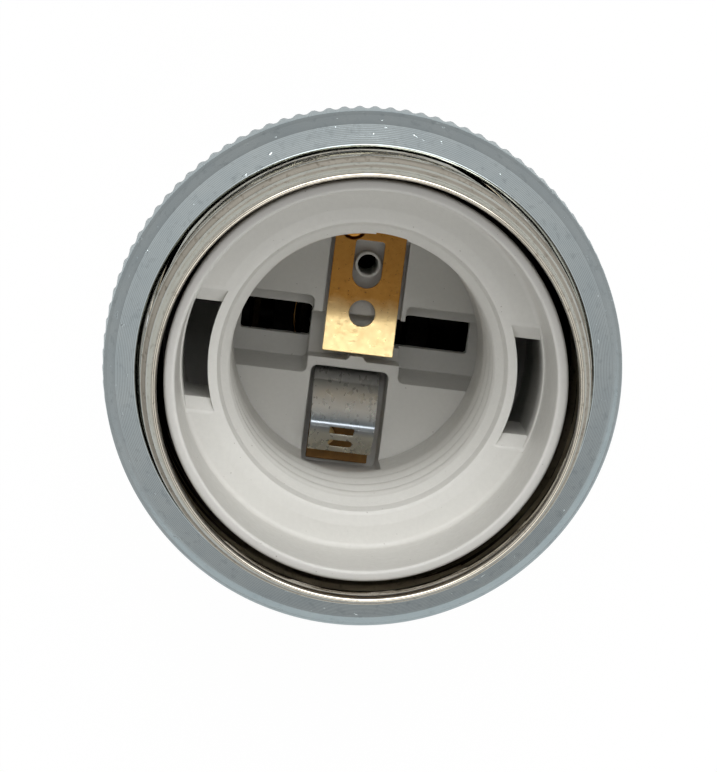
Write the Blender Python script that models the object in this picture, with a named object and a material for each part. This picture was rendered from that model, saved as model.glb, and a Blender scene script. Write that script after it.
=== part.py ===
"""Half-threaded metal lamp socket for a 27 mm screw cap, with its loose shade ring.

The socket stands on the collar of its entry bush with its mouth up, +Z out of the mouth. The bracket of the
centre contact lies along +Y and that of the side contact along -Y. All sizes are in metres.
"""

from math import asin, cos, hypot, pi, radians, sin, sqrt

import bmesh
import bpy
from mathutils import Matrix, Vector

MM = 0.001

# Fits between neighbouring pieces
SEAT_GAP = 0.3 * MM
SLIP_GAP = 0.25 * MM
CUT_OVERRUN = 1.0 * MM

# Depths measured down from the shell's rim
INSERT_RIM_DEPTH = 4.8 * MM
FLOOR_DEPTH = 14.72 * MM

# Outer shell, rolled from sheet
SHELL_SHEET = 0.4 * MM
SHELL_ROOM = 0.94 * MM
SHELL_THREAD_HEIGHT = 0.8 * MM
SHELL_RIM_INSET = 0.55 * MM
SHELL_THREAD_PITCH = 2.5 * MM
SHELL_THREAD_LENGTH = 23.5 * MM
SHELL_TAPER_LENGTH = 5.8 * MM
SHELL_BODY_STEP = 0.05 * MM
SHELL_STEP_LENGTH = 0.9 * MM
SHELL_THREAD_MARGIN = 0.7 * MM
SHELL_THREAD_START = radians(15.6)
SHELL_COLUMNS = 40

# Shade ring, turned, with a straight knurl. Its widths run outwards from the bore.
RING_TOP_DEPTH = 9.51 * MM
RING_HEIGHT = 7.0 * MM
RING_CLEARANCE = 0.3 * MM
RING_MOUTH_CHAMFER = 0.7 * MM
RING_MOUTH_WIDTH = 0.36 * MM
RING_FACE_WIDTH = 1.85 * MM
RING_FACE_DROP = 1.34 * MM
RING_SHOULDER_WIDTH = 0.79 * MM
RING_SHOULDER_DROP = 1.15 * MM
RING_KNURL_WIDTH = 0.7 * MM
RING_KNURL_RUN_OUT = 0.45 * MM
RING_KNURL_END = 0.55 * MM
RING_FOOT_BEVEL = 0.65 * MM
KNURL_DEPTH = 0.28 * MM
KNURL_TEETH = 105
RING_COLUMNS = 70

# Threaded insert, moulded. Its widths run outwards from the crest of the lamp thread.
COLLAR_ROOM = 2.63 * MM
COLLAR_WALL = 0.98 * MM
FLOOR_THICKNESS = 2.0 * MM
FLOOR_SHOULDER_WIDTH = 1.2 * MM
FLOOR_SHOULDER_DROP = 0.15 * MM
STEP_WIDTH = 1.05 * MM
STEP_DROP = 1.0 * MM
STEP_DRAFT = 0.25 * MM
LEAD_IN_DROP = 0.9 * MM
LAMP_CREST_RADIUS = 12.25 * MM
LAMP_THREAD_HEIGHT = 1.1 * MM
LAMP_THREAD_PITCH = 25.4 / 7 * MM
LAMP_THREAD_TOP = 17.35 * MM
LAMP_THREAD_END = 29.7 * MM
LAMP_THREAD_RUN_IN = 0.7 * MM
LAMP_THREAD_START = radians(86.6)
TUBE_WALL = 0.85 * MM
RIM_ROUND = 0.25 * MM
FLANGE_THICKNESS = 2.0 * MM
INSERT_COLUMNS = 56
WINDOW_INNER_MARGIN = 0.05 * MM
WINDOW_OUTER_MARGIN = 0.23 * MM
WINDOW_HALF_LENGTH = 4.5 * MM
WINDOW_STEPS = 8
WINDOW_CHAMFER_LENGTH = 1.2 * MM
WINDOW_CHAMFER_DROP = 0.8 * MM
SHAFT_DEPTH = 10.0 * MM
SHAFT_SETBACK = 0.1 * MM
SHAFT_WALL = 1.1 * MM
LEAF_NOTCH_HEIGHT = 5.7 * MM
SCREW_PLACE_OFFSET = 1.1 * MM
INSERT_BOSS_RADIUS = 1.75 * MM
INSERT_BOSS_HOLE_DEPTH = 7.0 * MM

# Contact carrier, moulded. The centre contact's channel lies a little beside the axis.
CARRIER_CLEARANCE = 0.35 * MM
CARRIER_RIM_HEIGHT = 9.0 * MM
CARRIER_PLATE = 7.5 * MM
CARRIER_FOOT_HEIGHT = 2.5 * MM
CARRIER_SKIRT_WALL = 1.35 * MM
CARRIER_COLUMNS = 48
TRENCH_TUCK = 0.95 * MM
TRENCH_LEFT_END = -4.6 * MM
TRENCH_RIGHT_END = 4.69 * MM
TRENCH_TOP = 4.12 * MM
TRENCH_BOTTOM = -3.73 * MM
TRENCH_SLOPE = 0.87 * MM
TRENCH_FLOOR_DROP = 6.0 * MM
TRENCH_SHELF_DROP = 2.8 * MM
SLOT_END_WALL = 0.5 * MM
SLOT_INNER_REACH = 0.6 * MM
SLOT_TOP = 2.99 * MM
SLOT_BOTTOM = -0.6 * MM
RECESS_TOP = 2.58 * MM
RECESS_BOTTOM = -1.98 * MM
RECESS_DROP = 3.5 * MM
RIB_WIDTH = 1.44 * MM
RIB_END = -1.52 * MM
CHANNEL_CENTRE = 0.28 * MM
CHANNEL_SIDE_GAP = 0.4 * MM
CHANNEL_DROP = 1.4 * MM
CONTACT_SEAT_LENGTH = 3.3 * MM
BOSS_RADIUS = 1.32 * MM
BOSS_HOLE_RADIUS = 1.02 * MM
BOSS_DROP = 0.15 * MM
POCKET_LEFT = -4.13 * MM
POCKET_RIGHT = 3.77 * MM
POCKET_TOP = -2.8 * MM
POCKET_END_GAP = 0.5 * MM
POCKET_DROP = 4.0 * MM
POCKET_CORNER = 0.7 * MM

# Centre contact, blanked from brass strip
CONTACT_SHEET = 0.5 * MM
CENTRE_WIDTH = 7.13 * MM
CENTRE_FREE_END = -1.17 * MM
CENTRE_BEND = 2.74 * MM
CENTRE_TUCK = 0.95 * MM
CENTRE_RISE = 0.65 * MM
CENTRE_SLOT_WIDTH = 2.94 * MM
CENTRE_SLOT_CORNER = 0.35 * MM
CENTRE_SLOT_LOW = 5.42 * MM
CENTRE_SLOT_MARGIN = 2.95 * MM
CENTRE_HOLE_RADIUS = 1.33 * MM
CENTRE_HOLE_PLACE = 2.89 * MM

# Side contact, a sprung leaf over a flat strip
LEAF_SHEET = 0.35 * MM
LEAF_CENTRE = -0.38 * MM
LEAF_ROOT_WIDTH = 6.67 * MM
LEAF_END_WIDTH = 6.36 * MM
LEAF_ROOT = -3.42 * MM
LEAF_PIVOT = -3.98 * MM
LEAF_FOOT = -5.83 * MM
LEAF_BEND_HEIGHT = 1.5 * MM
LEAF_BEND_ANGLE = radians(140)
LEAF_BEND_STEPS = 6
LEAF_WALL_GAP = 1.09 * MM
LEAF_FOLD_BACK = 2.87 * MM
LEAF_FOLD_RISE = 3.0 * MM
LEAF_KNEE_BACK = 1.69 * MM
LEAF_KNEE_DROP = 0.75 * MM
LEAF_END_DROP = 2.2 * MM
LEAF_SLOT_WIDTH = 2.46 * MM
LEAF_SLOT_LENGTH = 0.77 * MM
STRIP_SHEET = 0.6 * MM
STRIP_WIDTH = 6.3 * MM
STRIP_INNER_END = -5.21 * MM
STRIP_OVERHANG = 1.64 * MM

# Terminals, screws and rivets
TERMINAL_LENGTH = 8.6 * MM
TERMINAL_WIDTH = 4.6 * MM
TERMINAL_HEIGHT = 5.5 * MM
CENTRE_TERMINAL_OFFSET = -0.9 * MM
WIRE_HOLE_RADIUS = 1.25 * MM
WIRE_HOLE_RISE = 1.0 * MM
RIVET_RADIUS = 0.8 * MM
RIVET_HEAD_RADIUS = 1.1 * MM
RIVET_HEAD_HEIGHT = 0.5 * MM
RIVET_CROWN_RADIUS = 0.66 * MM
CENTRE_RIVET_X = -1.6 * MM
CENTRE_RIVET_MARGIN = 1.7 * MM
SIDE_RIVET_X = -1.9 * MM
SIDE_RIVET_MARGIN = 2.6 * MM
TERMINAL_SCREW_OFFSET = 1.9 * MM
TERMINAL_SCREW_RADIUS = 1.25 * MM
TERMINAL_SCREW_HEAD_RADIUS = 2.0 * MM
TERMINAL_SCREW_HEAD_HEIGHT = 1.4 * MM
TERMINAL_SCREW_ENGAGEMENT = 2.6 * MM
CARRIER_SCREW_RADIUS = 0.95 * MM
CARRIER_SCREW_HEAD_RADIUS = 1.8 * MM
CARRIER_SCREW_HEAD_HEIGHT = 1.3 * MM
CARRIER_SCREW_ENGAGEMENT = 5.5 * MM
DRIVE_SLOT_WIDTH = 0.6 * MM
DRIVE_SLOT_DEPTH = 0.6 * MM

# Cap, drawn from sheet
CAP_SHEET = 0.6 * MM
CAP_SKIRT_LENGTH = 12.3 * MM
CAP_DOME_HEIGHT = 12.8 * MM
CAP_LEDGE_WIDTH = 2.7 * MM
CAP_END_RADIUS = 11.5 * MM
CAP_DOME_STEPS = 5
CAP_COLUMNS = 44

# Entry bush with its nut, grub screw, earth tag and earth screw
BUSH_COLLAR_RADIUS = 7.5 * MM
BUSH_COLLAR_HEIGHT = 6.0 * MM
BUSH_SHANK_RADIUS = 6.0 * MM
BUSH_SHANK_LENGTH = 6.5 * MM
BUSH_BORE_RADIUS = 4.45 * MM
BUSH_CHAMFER = 0.4 * MM
BUSH_COLUMNS = 32
NUT_FLAT_RADIUS = 8.5 * MM
NUT_HEIGHT = 3.0 * MM
GRUB_RADIUS = 1.3 * MM
GRUB_LENGTH = 2.4 * MM
TAG_THICKNESS = 0.7 * MM
TAG_BRIM = 0.4 * MM
TAG_WIDTH = 5.6 * MM
TAG_CLEARANCE = 1.4 * MM
TAG_HEIGHT = 8.7 * MM
EARTH_SCREW_RADIUS = 1.25 * MM
EARTH_SCREW_HEAD_RADIUS = 2.3 * MM
EARTH_SCREW_HEAD_HEIGHT = 1.5 * MM
EARTH_SCREW_LENGTH = 2.6 * MM
BOSS_COLUMNS = 24
SMALL_COLUMNS = 16
HOLE_COLUMNS = 12
THREAD_STEEPNESS = 0.71
SHARP_ANGLE = radians(35)

# Heights worked out from the stack, from the bush's end up to the mouth
CAP_END_Z = BUSH_COLLAR_HEIGHT + SEAT_GAP
TAG_BOTTOM_Z = CAP_END_Z + CAP_SHEET + SEAT_GAP
NUT_BOTTOM_Z = TAG_BOTTOM_Z + TAG_THICKNESS + SEAT_GAP
LEDGE_Z = CAP_END_Z + CAP_SHEET + CAP_DOME_HEIGHT
SHELL_END_Z = LEDGE_Z + SEAT_GAP
PLATE_UNDERSIDE_Z = SHELL_END_Z + CARRIER_FOOT_HEIGHT
PLATEAU_Z = PLATE_UNDERSIDE_Z + CARRIER_PLATE
TUBE_END_Z = PLATEAU_Z + SEAT_GAP
CARRIER_RIM_Z = PLATEAU_Z + CARRIER_RIM_HEIGHT
FLANGE_BOTTOM_Z = CARRIER_RIM_Z + SEAT_GAP
FLANGE_TOP_Z = FLANGE_BOTTOM_Z + FLANGE_THICKNESS
RIM_Z = FLANGE_TOP_Z + SEAT_GAP + SHELL_STEP_LENGTH + SHELL_THREAD_LENGTH

# Heights worked out from the rim down
INSERT_RIM_Z = RIM_Z - INSERT_RIM_DEPTH
FLOOR_Z = RIM_Z - FLOOR_DEPTH
LAMP_THREAD_END_Z = RIM_Z - LAMP_THREAD_END

# Heights of the contacts and terminals
CENTRE_SEAT_Z = PLATEAU_Z - CONTACT_SHEET - SEAT_GAP
CENTRE_TOP_Z = PLATEAU_Z
POCKET_FLOOR_Z = PLATEAU_Z - POCKET_DROP
STRIP_TOP_Z = POCKET_FLOOR_Z + SEAT_GAP + STRIP_SHEET
TERMINAL_TOP_Z = PLATE_UNDERSIDE_Z - SEAT_GAP
TERMINAL_BOTTOM_Z = TERMINAL_TOP_Z - TERMINAL_HEIGHT

# Radii worked out from the nut and from the crest of the lamp thread outwards
TAG_RADIUS = NUT_FLAT_RADIUS + TAG_BRIM
TAG_REACH = NUT_FLAT_RADIUS + TAG_CLEARANCE + TAG_THICKNESS
TUBE_RADIUS = LAMP_CREST_RADIUS + LAMP_THREAD_HEIGHT + TUBE_WALL
STEP_RADIUS = LAMP_CREST_RADIUS + STEP_WIDTH
FLOOR_SHOULDER_RADIUS = STEP_RADIUS + FLOOR_SHOULDER_WIDTH
COLLAR_INNER_RADIUS = TUBE_RADIUS + COLLAR_ROOM
COLLAR_RADIUS = COLLAR_INNER_RADIUS + COLLAR_WALL
WINDOW_INNER_RADIUS = TUBE_RADIUS + WINDOW_INNER_MARGIN
WINDOW_OUTER_RADIUS = COLLAR_INNER_RADIUS - WINDOW_OUTER_MARGIN
SCREW_PLACE_RADIUS = TUBE_RADIUS + SCREW_PLACE_OFFSET
SHELL_ROOT_RADIUS = COLLAR_RADIUS + SHELL_ROOM + SHELL_SHEET
SHELL_CREST_RADIUS = SHELL_ROOT_RADIUS + SHELL_THREAD_HEIGHT
SHELL_PLAIN_RADIUS = SHELL_CREST_RADIUS + SHELL_BODY_STEP
CARRIER_RADIUS = SHELL_PLAIN_RADIUS - SHELL_SHEET - CARRIER_CLEARANCE
CARRIER_RIM_INNER_RADIUS = SCREW_PLACE_RADIUS + INSERT_BOSS_RADIUS + SLIP_GAP
CAP_RADIUS = SHELL_PLAIN_RADIUS + SEAT_GAP + CAP_SHEET
CAP_LEDGE_INNER_RADIUS = CAP_RADIUS - CAP_SHEET - CAP_LEDGE_WIDTH
RING_BORE_RADIUS = SHELL_CREST_RADIUS + RING_CLEARANCE
RING_MOUTH_RADIUS = RING_BORE_RADIUS + RING_MOUTH_WIDTH
RING_FACE_RADIUS = RING_MOUTH_RADIUS + RING_FACE_WIDTH
RING_SHOULDER_RADIUS = RING_FACE_RADIUS + RING_SHOULDER_WIDTH
RING_KNURL_RADIUS = RING_SHOULDER_RADIUS + RING_KNURL_WIDTH
RING_FOOT_RADIUS = RING_KNURL_RADIUS - RING_FOOT_BEVEL

# Places on the carrier, worked out from the wall of the insert's tube
TRENCH_REACH = LAMP_CREST_RADIUS + TRENCH_TUCK
SLOT_REACH = LAMP_CREST_RADIUS - SLOT_END_WALL
CENTRE_FIXED_END = LAMP_CREST_RADIUS + CENTRE_TUCK
CENTRE_SLOT_HIGH = CENTRE_FIXED_END - CENTRE_SLOT_MARGIN
BOSS_PLACE = (CENTRE_SLOT_LOW + CENTRE_SLOT_HIGH) / 2
CENTRE_RIVET_PLACE = (CENTRE_RIVET_X, CENTRE_FIXED_END - CENTRE_RIVET_MARGIN)
CENTRE_TERMINAL_PLACE = CENTRE_RIVET_PLACE[1] + CENTRE_TERMINAL_OFFSET
LEAF_END = LEAF_WALL_GAP - LAMP_CREST_RADIUS
LEAF_KNEE = LEAF_END + LEAF_KNEE_BACK
LEAF_FOLD = LEAF_END + LEAF_FOLD_BACK
STRIP_OUTER_END = LEAF_END - STRIP_OVERHANG
POCKET_BOTTOM = STRIP_OUTER_END - POCKET_END_GAP
SIDE_RIVET_PLACE = (SIDE_RIVET_X, STRIP_OUTER_END + SIDE_RIVET_MARGIN)
SIDE_TERMINAL_PLACE = SIDE_RIVET_PLACE[1]


def clear_scene():
    for item in list(bpy.data.objects):
        bpy.data.objects.remove(item, do_unlink=True)


def finish(name, colour, metallic, roughness):
    """One Principled material."""
    result = bpy.data.materials.new(name)
    result.use_nodes = True
    shader = result.node_tree.nodes["Principled BSDF"]
    shader.inputs["Base Color"].default_value = (*colour, 1.0)
    shader.inputs["Metallic"].default_value = metallic
    shader.inputs["Roughness"].default_value = roughness
    result.diffuse_color = (*colour, 1.0)
    return result


def place(name, bm, surface, origin=(0, 0, 0)):
    """Turn a bmesh, given in world space, into a named object with its origin where it is wanted."""
    bmesh.ops.recalc_face_normals(bm, faces=bm.faces)
    bmesh.ops.translate(bm, verts=bm.verts, vec=-Vector(origin))
    mesh = bpy.data.meshes.new(name)
    bm.to_mesh(mesh)
    bm.free()
    mesh.shade_smooth()
    mesh.set_sharp_from_angle(angle=SHARP_ANGLE)
    item = bpy.data.objects.new(name, mesh)
    item.location = origin
    bpy.context.scene.collection.objects.link(item)
    if surface:
        mesh.materials.append(surface)
    return item


def combine(body, bm, operation, name):
    """Apply a second shape to a body with a Boolean modifier, and keep that shape as a guide."""
    tool = place(f"{body.name}_{name}_guide", bm, None)
    tool.hide_render = True
    tool.display_type = 'WIRE'
    change = body.modifiers.new(name, 'BOOLEAN')
    change.operation = operation
    change.solver = 'EXACT'
    change.object = tool


def cut(body, bm, name):
    combine(body, bm, 'DIFFERENCE', name)


def level_ring(bm, radius, height, columns, start=0.0):
    ring = []
    for column in range(columns):
        angle = start + 2 * pi * column / columns
        ring.append(bm.verts.new((radius * cos(angle), radius * sin(angle), height)))
    return ring


def join_rings(bm, lower, upper):
    """Quads between two rings with as many points each."""
    count = len(lower)
    for column in range(count):
        after = (column + 1) % count
        bm.faces.new((lower[column], lower[after], upper[after], upper[column]))


def loft(levels):
    """A solid through flat outlines with as many points each. A level is (outline, height)."""
    bm = bmesh.new()
    rings = []
    for outline, height in levels:
        rings.append([bm.verts.new((x, y, height)) for x, y in outline])
    for lower, upper in zip(rings, rings[1:]):
        join_rings(bm, lower, upper)
    bm.faces.new(rings[0])
    bm.faces.new(rings[-1])
    return bm


def join_fine_ring(bm, coarse, fine):
    """Fans between a ring and one with a whole multiple of its points."""
    step = len(fine) // len(coarse)
    for column, corner in enumerate(coarse):
        after = coarse[(column + 1) % len(coarse)]
        middle = column * step + step // 2 + 1
        for index in range(column * step, (column + 1) * step):
            owner = corner if index < middle else after
            bm.faces.new((owner, fine[index], fine[(index + 1) % len(fine)]))
        bm.faces.new((corner, fine[middle % len(fine)], after))


def close_rings(bm, rings):
    """A ring-shaped solid: each ring joins the next, and the last joins the first."""
    for index, ring in enumerate(rings):
        join_rings(bm, ring, rings[(index + 1) % len(rings)])


def turned(profile, columns, centre=(0, 0)):
    """A turned solid. A profile that starts and ends on the axis is closed there by flat discs."""
    bm = bmesh.new()
    rings = []
    for radius, height in profile:
        if radius > 0:
            rings.append(level_ring(bm, radius, height, columns))
    if profile[0][0] > 0:
        close_rings(bm, rings)
    else:
        for lower, upper in zip(rings, rings[1:]):
            join_rings(bm, lower, upper)
        bm.faces.new(rings[0])
        bm.faces.new(rings[-1])
    bmesh.ops.translate(bm, verts=bm.verts, vec=(*centre, 0))
    return bm


def rod(radius, bottom, top, centre=(0, 0), columns=SMALL_COLUMNS):
    return turned([(0, bottom), (radius, bottom), (radius, top), (0, top)], columns, centre)


def prism(outline, low, high, axis='Z'):
    """A straight prism. Its outline is in the two axes that follow the given one, in X, Y, Z order."""
    bm = bmesh.new()
    place_point = {
        'X': lambda first, second, along: (along, first, second),
        'Z': lambda first, second, along: (first, second, along),
    }[axis]
    base = []
    for first, second in outline:
        base.append(bm.verts.new(place_point(first, second, low)))
    face = bm.faces.new(base)
    extruded = bmesh.ops.extrude_face_region(bm, geom=[face])
    moved = [item for item in extruded["geom"] if isinstance(item, bmesh.types.BMVert)]
    shift = Vector(place_point(0, 0, high - low))
    bmesh.ops.translate(bm, verts=moved, vec=shift)
    return bm


def rectangle(left, right, bottom, top):
    return [(left, bottom), (right, bottom), (right, top), (left, top)]


def rounded_rectangle(left, right, bottom, top, radius, steps=3):
    outline = []
    corners = [(right - radius, top - radius), (left + radius, top - radius),
               (left + radius, bottom + radius), (right - radius, bottom + radius)]
    for quarter, (x, y) in enumerate(corners):
        for step in range(steps + 1):
            angle = pi / 2 * (quarter + step / steps)
            outline.append((x + radius * cos(angle), y + radius * sin(angle)))
    return outline


def punched_slot(x, low, high, radius, corner, steps=8):
    """A slot along Y, round at its low end and square with small corners at its high end."""
    outline = []
    for side, first in ((1, 0), (-1, pi / 2)):
        for step in range(4):
            angle = first + pi / 6 * step
            corner_x = x + side * (radius - corner)
            outline.append((corner_x + corner * cos(angle), high - corner + corner * sin(angle)))
    for step in range(steps + 1):
        angle = pi + pi * step / steps
        outline.append((x + radius * cos(angle), low + radius + radius * sin(angle)))
    return outline


def helical_rows(bm, radius_at, low, high, margin, pitch, rows, columns, start):
    """Columns of points whose rows climb with a right-handed thread, between two level rings.

    radius_at takes a height and the thread's phase in turns, 0 on a crest. Two rows to a turn lie on the
    crest and the root, four lie on their edges. The last row ends a margin below the upper ring.
    """
    turns = int((high - low - margin) / pitch) - 1
    first = high - margin - (turns + 1) * pitch
    shift = 0.5 if rows == 4 else 0.0
    sheet = []
    for column in range(columns):
        turn = column / columns
        angle = start + 2 * pi * turn
        levels = [(low, 0.5)]
        for row in range(rows * turns + 1):
            phase = (row + shift) / rows
            levels.append((first + pitch * (phase + turn), phase))
        levels.append((high, 0.5))
        points = []
        for height, phase in levels:
            radius = radius_at(height, phase)
            points.append(bm.verts.new((radius * cos(angle), radius * sin(angle), height)))
        sheet.append(points)
    return sheet


def join_helical_rows(bm, sheet, rows):
    """Faces of the sheet. Where it closes, each row meets the row one turn further on."""
    for left, right in zip(sheet, sheet[1:]):
        for index in range(len(left) - 1):
            bm.faces.new((left[index], right[index], right[index + 1], left[index + 1]))
    left = sheet[-1]
    right = sheet[0]
    last = len(left) - 2
    for index in range(1, last - rows):
        bm.faces.new((left[index], right[index + rows], right[index + rows + 1], left[index + 1]))
    bm.faces.new((left[0], right[0], left[1]))
    for index in range(rows + 1):
        bm.faces.new((left[1], right[index], right[index + 1]))
    for index in range(last - rows, last + 1):
        bm.faces.new((right[last], left[index + 1], left[index]))
    bm.faces.new((right[last], right[last + 1], left[last + 1]))


def lowest_ring(sheet):
    return [points[0] for points in sheet]


def highest_ring(sheet):
    return [points[-1] for points in sheet]


def fade(distance, length):
    """From 0 at the start of a run to 1 at its end."""
    share = min(max(distance / length, 0.0), 1.0)
    return share * share * (3 - 2 * share)


def thread_wave(phase):
    """1 along the crest and 0 along the root, with straight flanks between them."""
    return min(max(0.5 + THREAD_STEEPNESS * cos(2 * pi * phase), 0.0), 1.0)


def shell_outer_radius(height, phase):
    """Rolled thread, drawn in towards the rim and fading out at both ends."""
    below_rim = RIM_Z - height
    draw_in = 1 - min(below_rim / SHELL_TAPER_LENGTH, 1.0)
    low_end = RIM_Z - SHELL_THREAD_LENGTH
    depth = SHELL_THREAD_HEIGHT * fade(height - low_end, SHELL_THREAD_PITCH)
    depth *= fade(below_rim, SHELL_TAPER_LENGTH)
    return SHELL_ROOT_RADIUS - SHELL_RIM_INSET * draw_in ** 2 + depth * thread_wave(phase)


def shell_inner_radius(height, phase):
    return shell_outer_radius(height, phase) - SHELL_SHEET


def outer_shell(surface):
    bm = bmesh.new()
    low = RIM_Z - SHELL_THREAD_LENGTH
    start = SHELL_THREAD_START
    skins = []
    for radius_at, rows in ((shell_outer_radius, 4), (shell_inner_radius, 2)):
        sheet = helical_rows(bm, radius_at, low, RIM_Z, SHELL_THREAD_MARGIN, SHELL_THREAD_PITCH,
                             rows, SHELL_COLUMNS, start)
        join_helical_rows(bm, sheet, rows)
        skins.append(sheet)
    outer, inner = skins
    step_z = low - SHELL_STEP_LENGTH
    plain_inner = SHELL_PLAIN_RADIUS - SHELL_SHEET
    body = [
        level_ring(bm, SHELL_PLAIN_RADIUS, step_z + SHELL_SHEET, SHELL_COLUMNS, start),
        level_ring(bm, SHELL_PLAIN_RADIUS, SHELL_END_Z, SHELL_COLUMNS, start),
        level_ring(bm, plain_inner, SHELL_END_Z, SHELL_COLUMNS, start),
        level_ring(bm, plain_inner, step_z, SHELL_COLUMNS, start),
    ]
    chain = [lowest_ring(outer), *body, lowest_ring(inner)]
    for first, second in zip(chain, chain[1:]):
        join_rings(bm, first, second)
    join_rings(bm, highest_ring(inner), highest_ring(outer))
    return place("outer_shell", bm, surface)


def knurled_ring_points(bm, radius, height, depth):
    """Two points to a tooth: its land and the bottom of its groove."""
    points = []
    count = 2 * KNURL_TEETH
    for index in range(count):
        angle = 2 * pi * index / count
        here = radius - (depth if index % 2 else 0.0)
        points.append(bm.verts.new((here * cos(angle), here * sin(angle), height)))
    return points


def shade_ring(surface):
    """Turned ring whose knurl runs out into the shoulder as scallops."""
    top = RIM_Z - RING_TOP_DEPTH
    face_z = top - RING_FACE_DROP
    shoulder_z = face_z - RING_SHOULDER_DROP
    bottom = top - RING_HEIGHT
    knurl_top = shoulder_z - RING_KNURL_RUN_OUT
    knurl_bottom = bottom + RING_KNURL_END
    bm = bmesh.new()
    plain = []
    for radius, height in (
        (RING_SHOULDER_RADIUS, shoulder_z),
        (RING_FACE_RADIUS, face_z),
        (RING_MOUTH_RADIUS, top),
        (RING_BORE_RADIUS, top - RING_MOUTH_CHAMFER),
        (RING_BORE_RADIUS, bottom + RING_MOUTH_CHAMFER),
        (RING_MOUTH_RADIUS, bottom),
        (RING_FOOT_RADIUS, bottom),
    ):
        plain.append(level_ring(bm, radius, height, RING_COLUMNS))
    for first, second in zip(plain, plain[1:]):
        join_rings(bm, first, second)
    front_radius = (RING_SHOULDER_RADIUS + RING_KNURL_RADIUS) / 2
    front = knurled_ring_points(bm, front_radius, knurl_top, KNURL_DEPTH)
    back = knurled_ring_points(bm, RING_KNURL_RADIUS, knurl_bottom, KNURL_DEPTH)
    join_fine_ring(bm, plain[0], front)
    join_rings(bm, front, back)
    join_fine_ring(bm, plain[-1], back)
    return place("shade_ring", bm, surface)


def lamp_thread_radius(height, phase):
    """Rounded lamp thread, cut short at its start, its groove fading into the plain wall below."""
    if height > RIM_Z - LAMP_THREAD_TOP + LAMP_THREAD_PITCH / 2:
        return LAMP_CREST_RADIUS
    depth = LAMP_THREAD_HEIGHT * fade(height - LAMP_THREAD_END_Z, LAMP_THREAD_PITCH)
    return LAMP_CREST_RADIUS + depth * (1 - thread_wave(phase))


def window_outline(side, half_length):
    """Window in the insert's floor, concentric with the thread."""
    outline = []
    for radius, order in ((WINDOW_OUTER_RADIUS, 1), (WINDOW_INNER_RADIUS, -1)):
        reach = asin(half_length / radius)
        for step in range(WINDOW_STEPS + 1):
            angle = order * reach * (2 * step / WINDOW_STEPS - 1)
            outline.append((side * radius * cos(angle), radius * sin(angle)))
    return outline


def window_cutter(side):
    """Straight window whose two ends open out in a chamfer at the top of the floor."""
    narrow = window_outline(side, WINDOW_HALF_LENGTH)
    wide = window_outline(side, WINDOW_HALF_LENGTH + WINDOW_CHAMFER_LENGTH)
    return loft([(narrow, FLOOR_Z - FLOOR_THICKNESS - CUT_OVERRUN), (narrow, FLOOR_Z - WINDOW_CHAMFER_DROP),
                 (wide, FLOOR_Z), (wide, FLOOR_Z + CUT_OVERRUN)])


def shaft_wall(side, end):
    """Wall below one end of a window, from the middle of the tube's wall to that of the collar's."""
    tube_middle = (LAMP_CREST_RADIUS + LAMP_THREAD_HEIGHT + TUBE_RADIUS) / 2
    collar_middle = COLLAR_RADIUS - COLLAR_WALL / 2
    near = WINDOW_HALF_LENGTH + SHAFT_SETBACK
    outline = []
    for radius, y in ((tube_middle, near), (collar_middle, near),
                      (collar_middle, near + SHAFT_WALL), (tube_middle, near + SHAFT_WALL)):
        outline.append((side * sqrt(radius * radius - y * y), end * y))
    return prism(outline, FLOOR_Z - SHAFT_DEPTH, FLOOR_Z - FLOOR_THICKNESS / 2)


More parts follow.
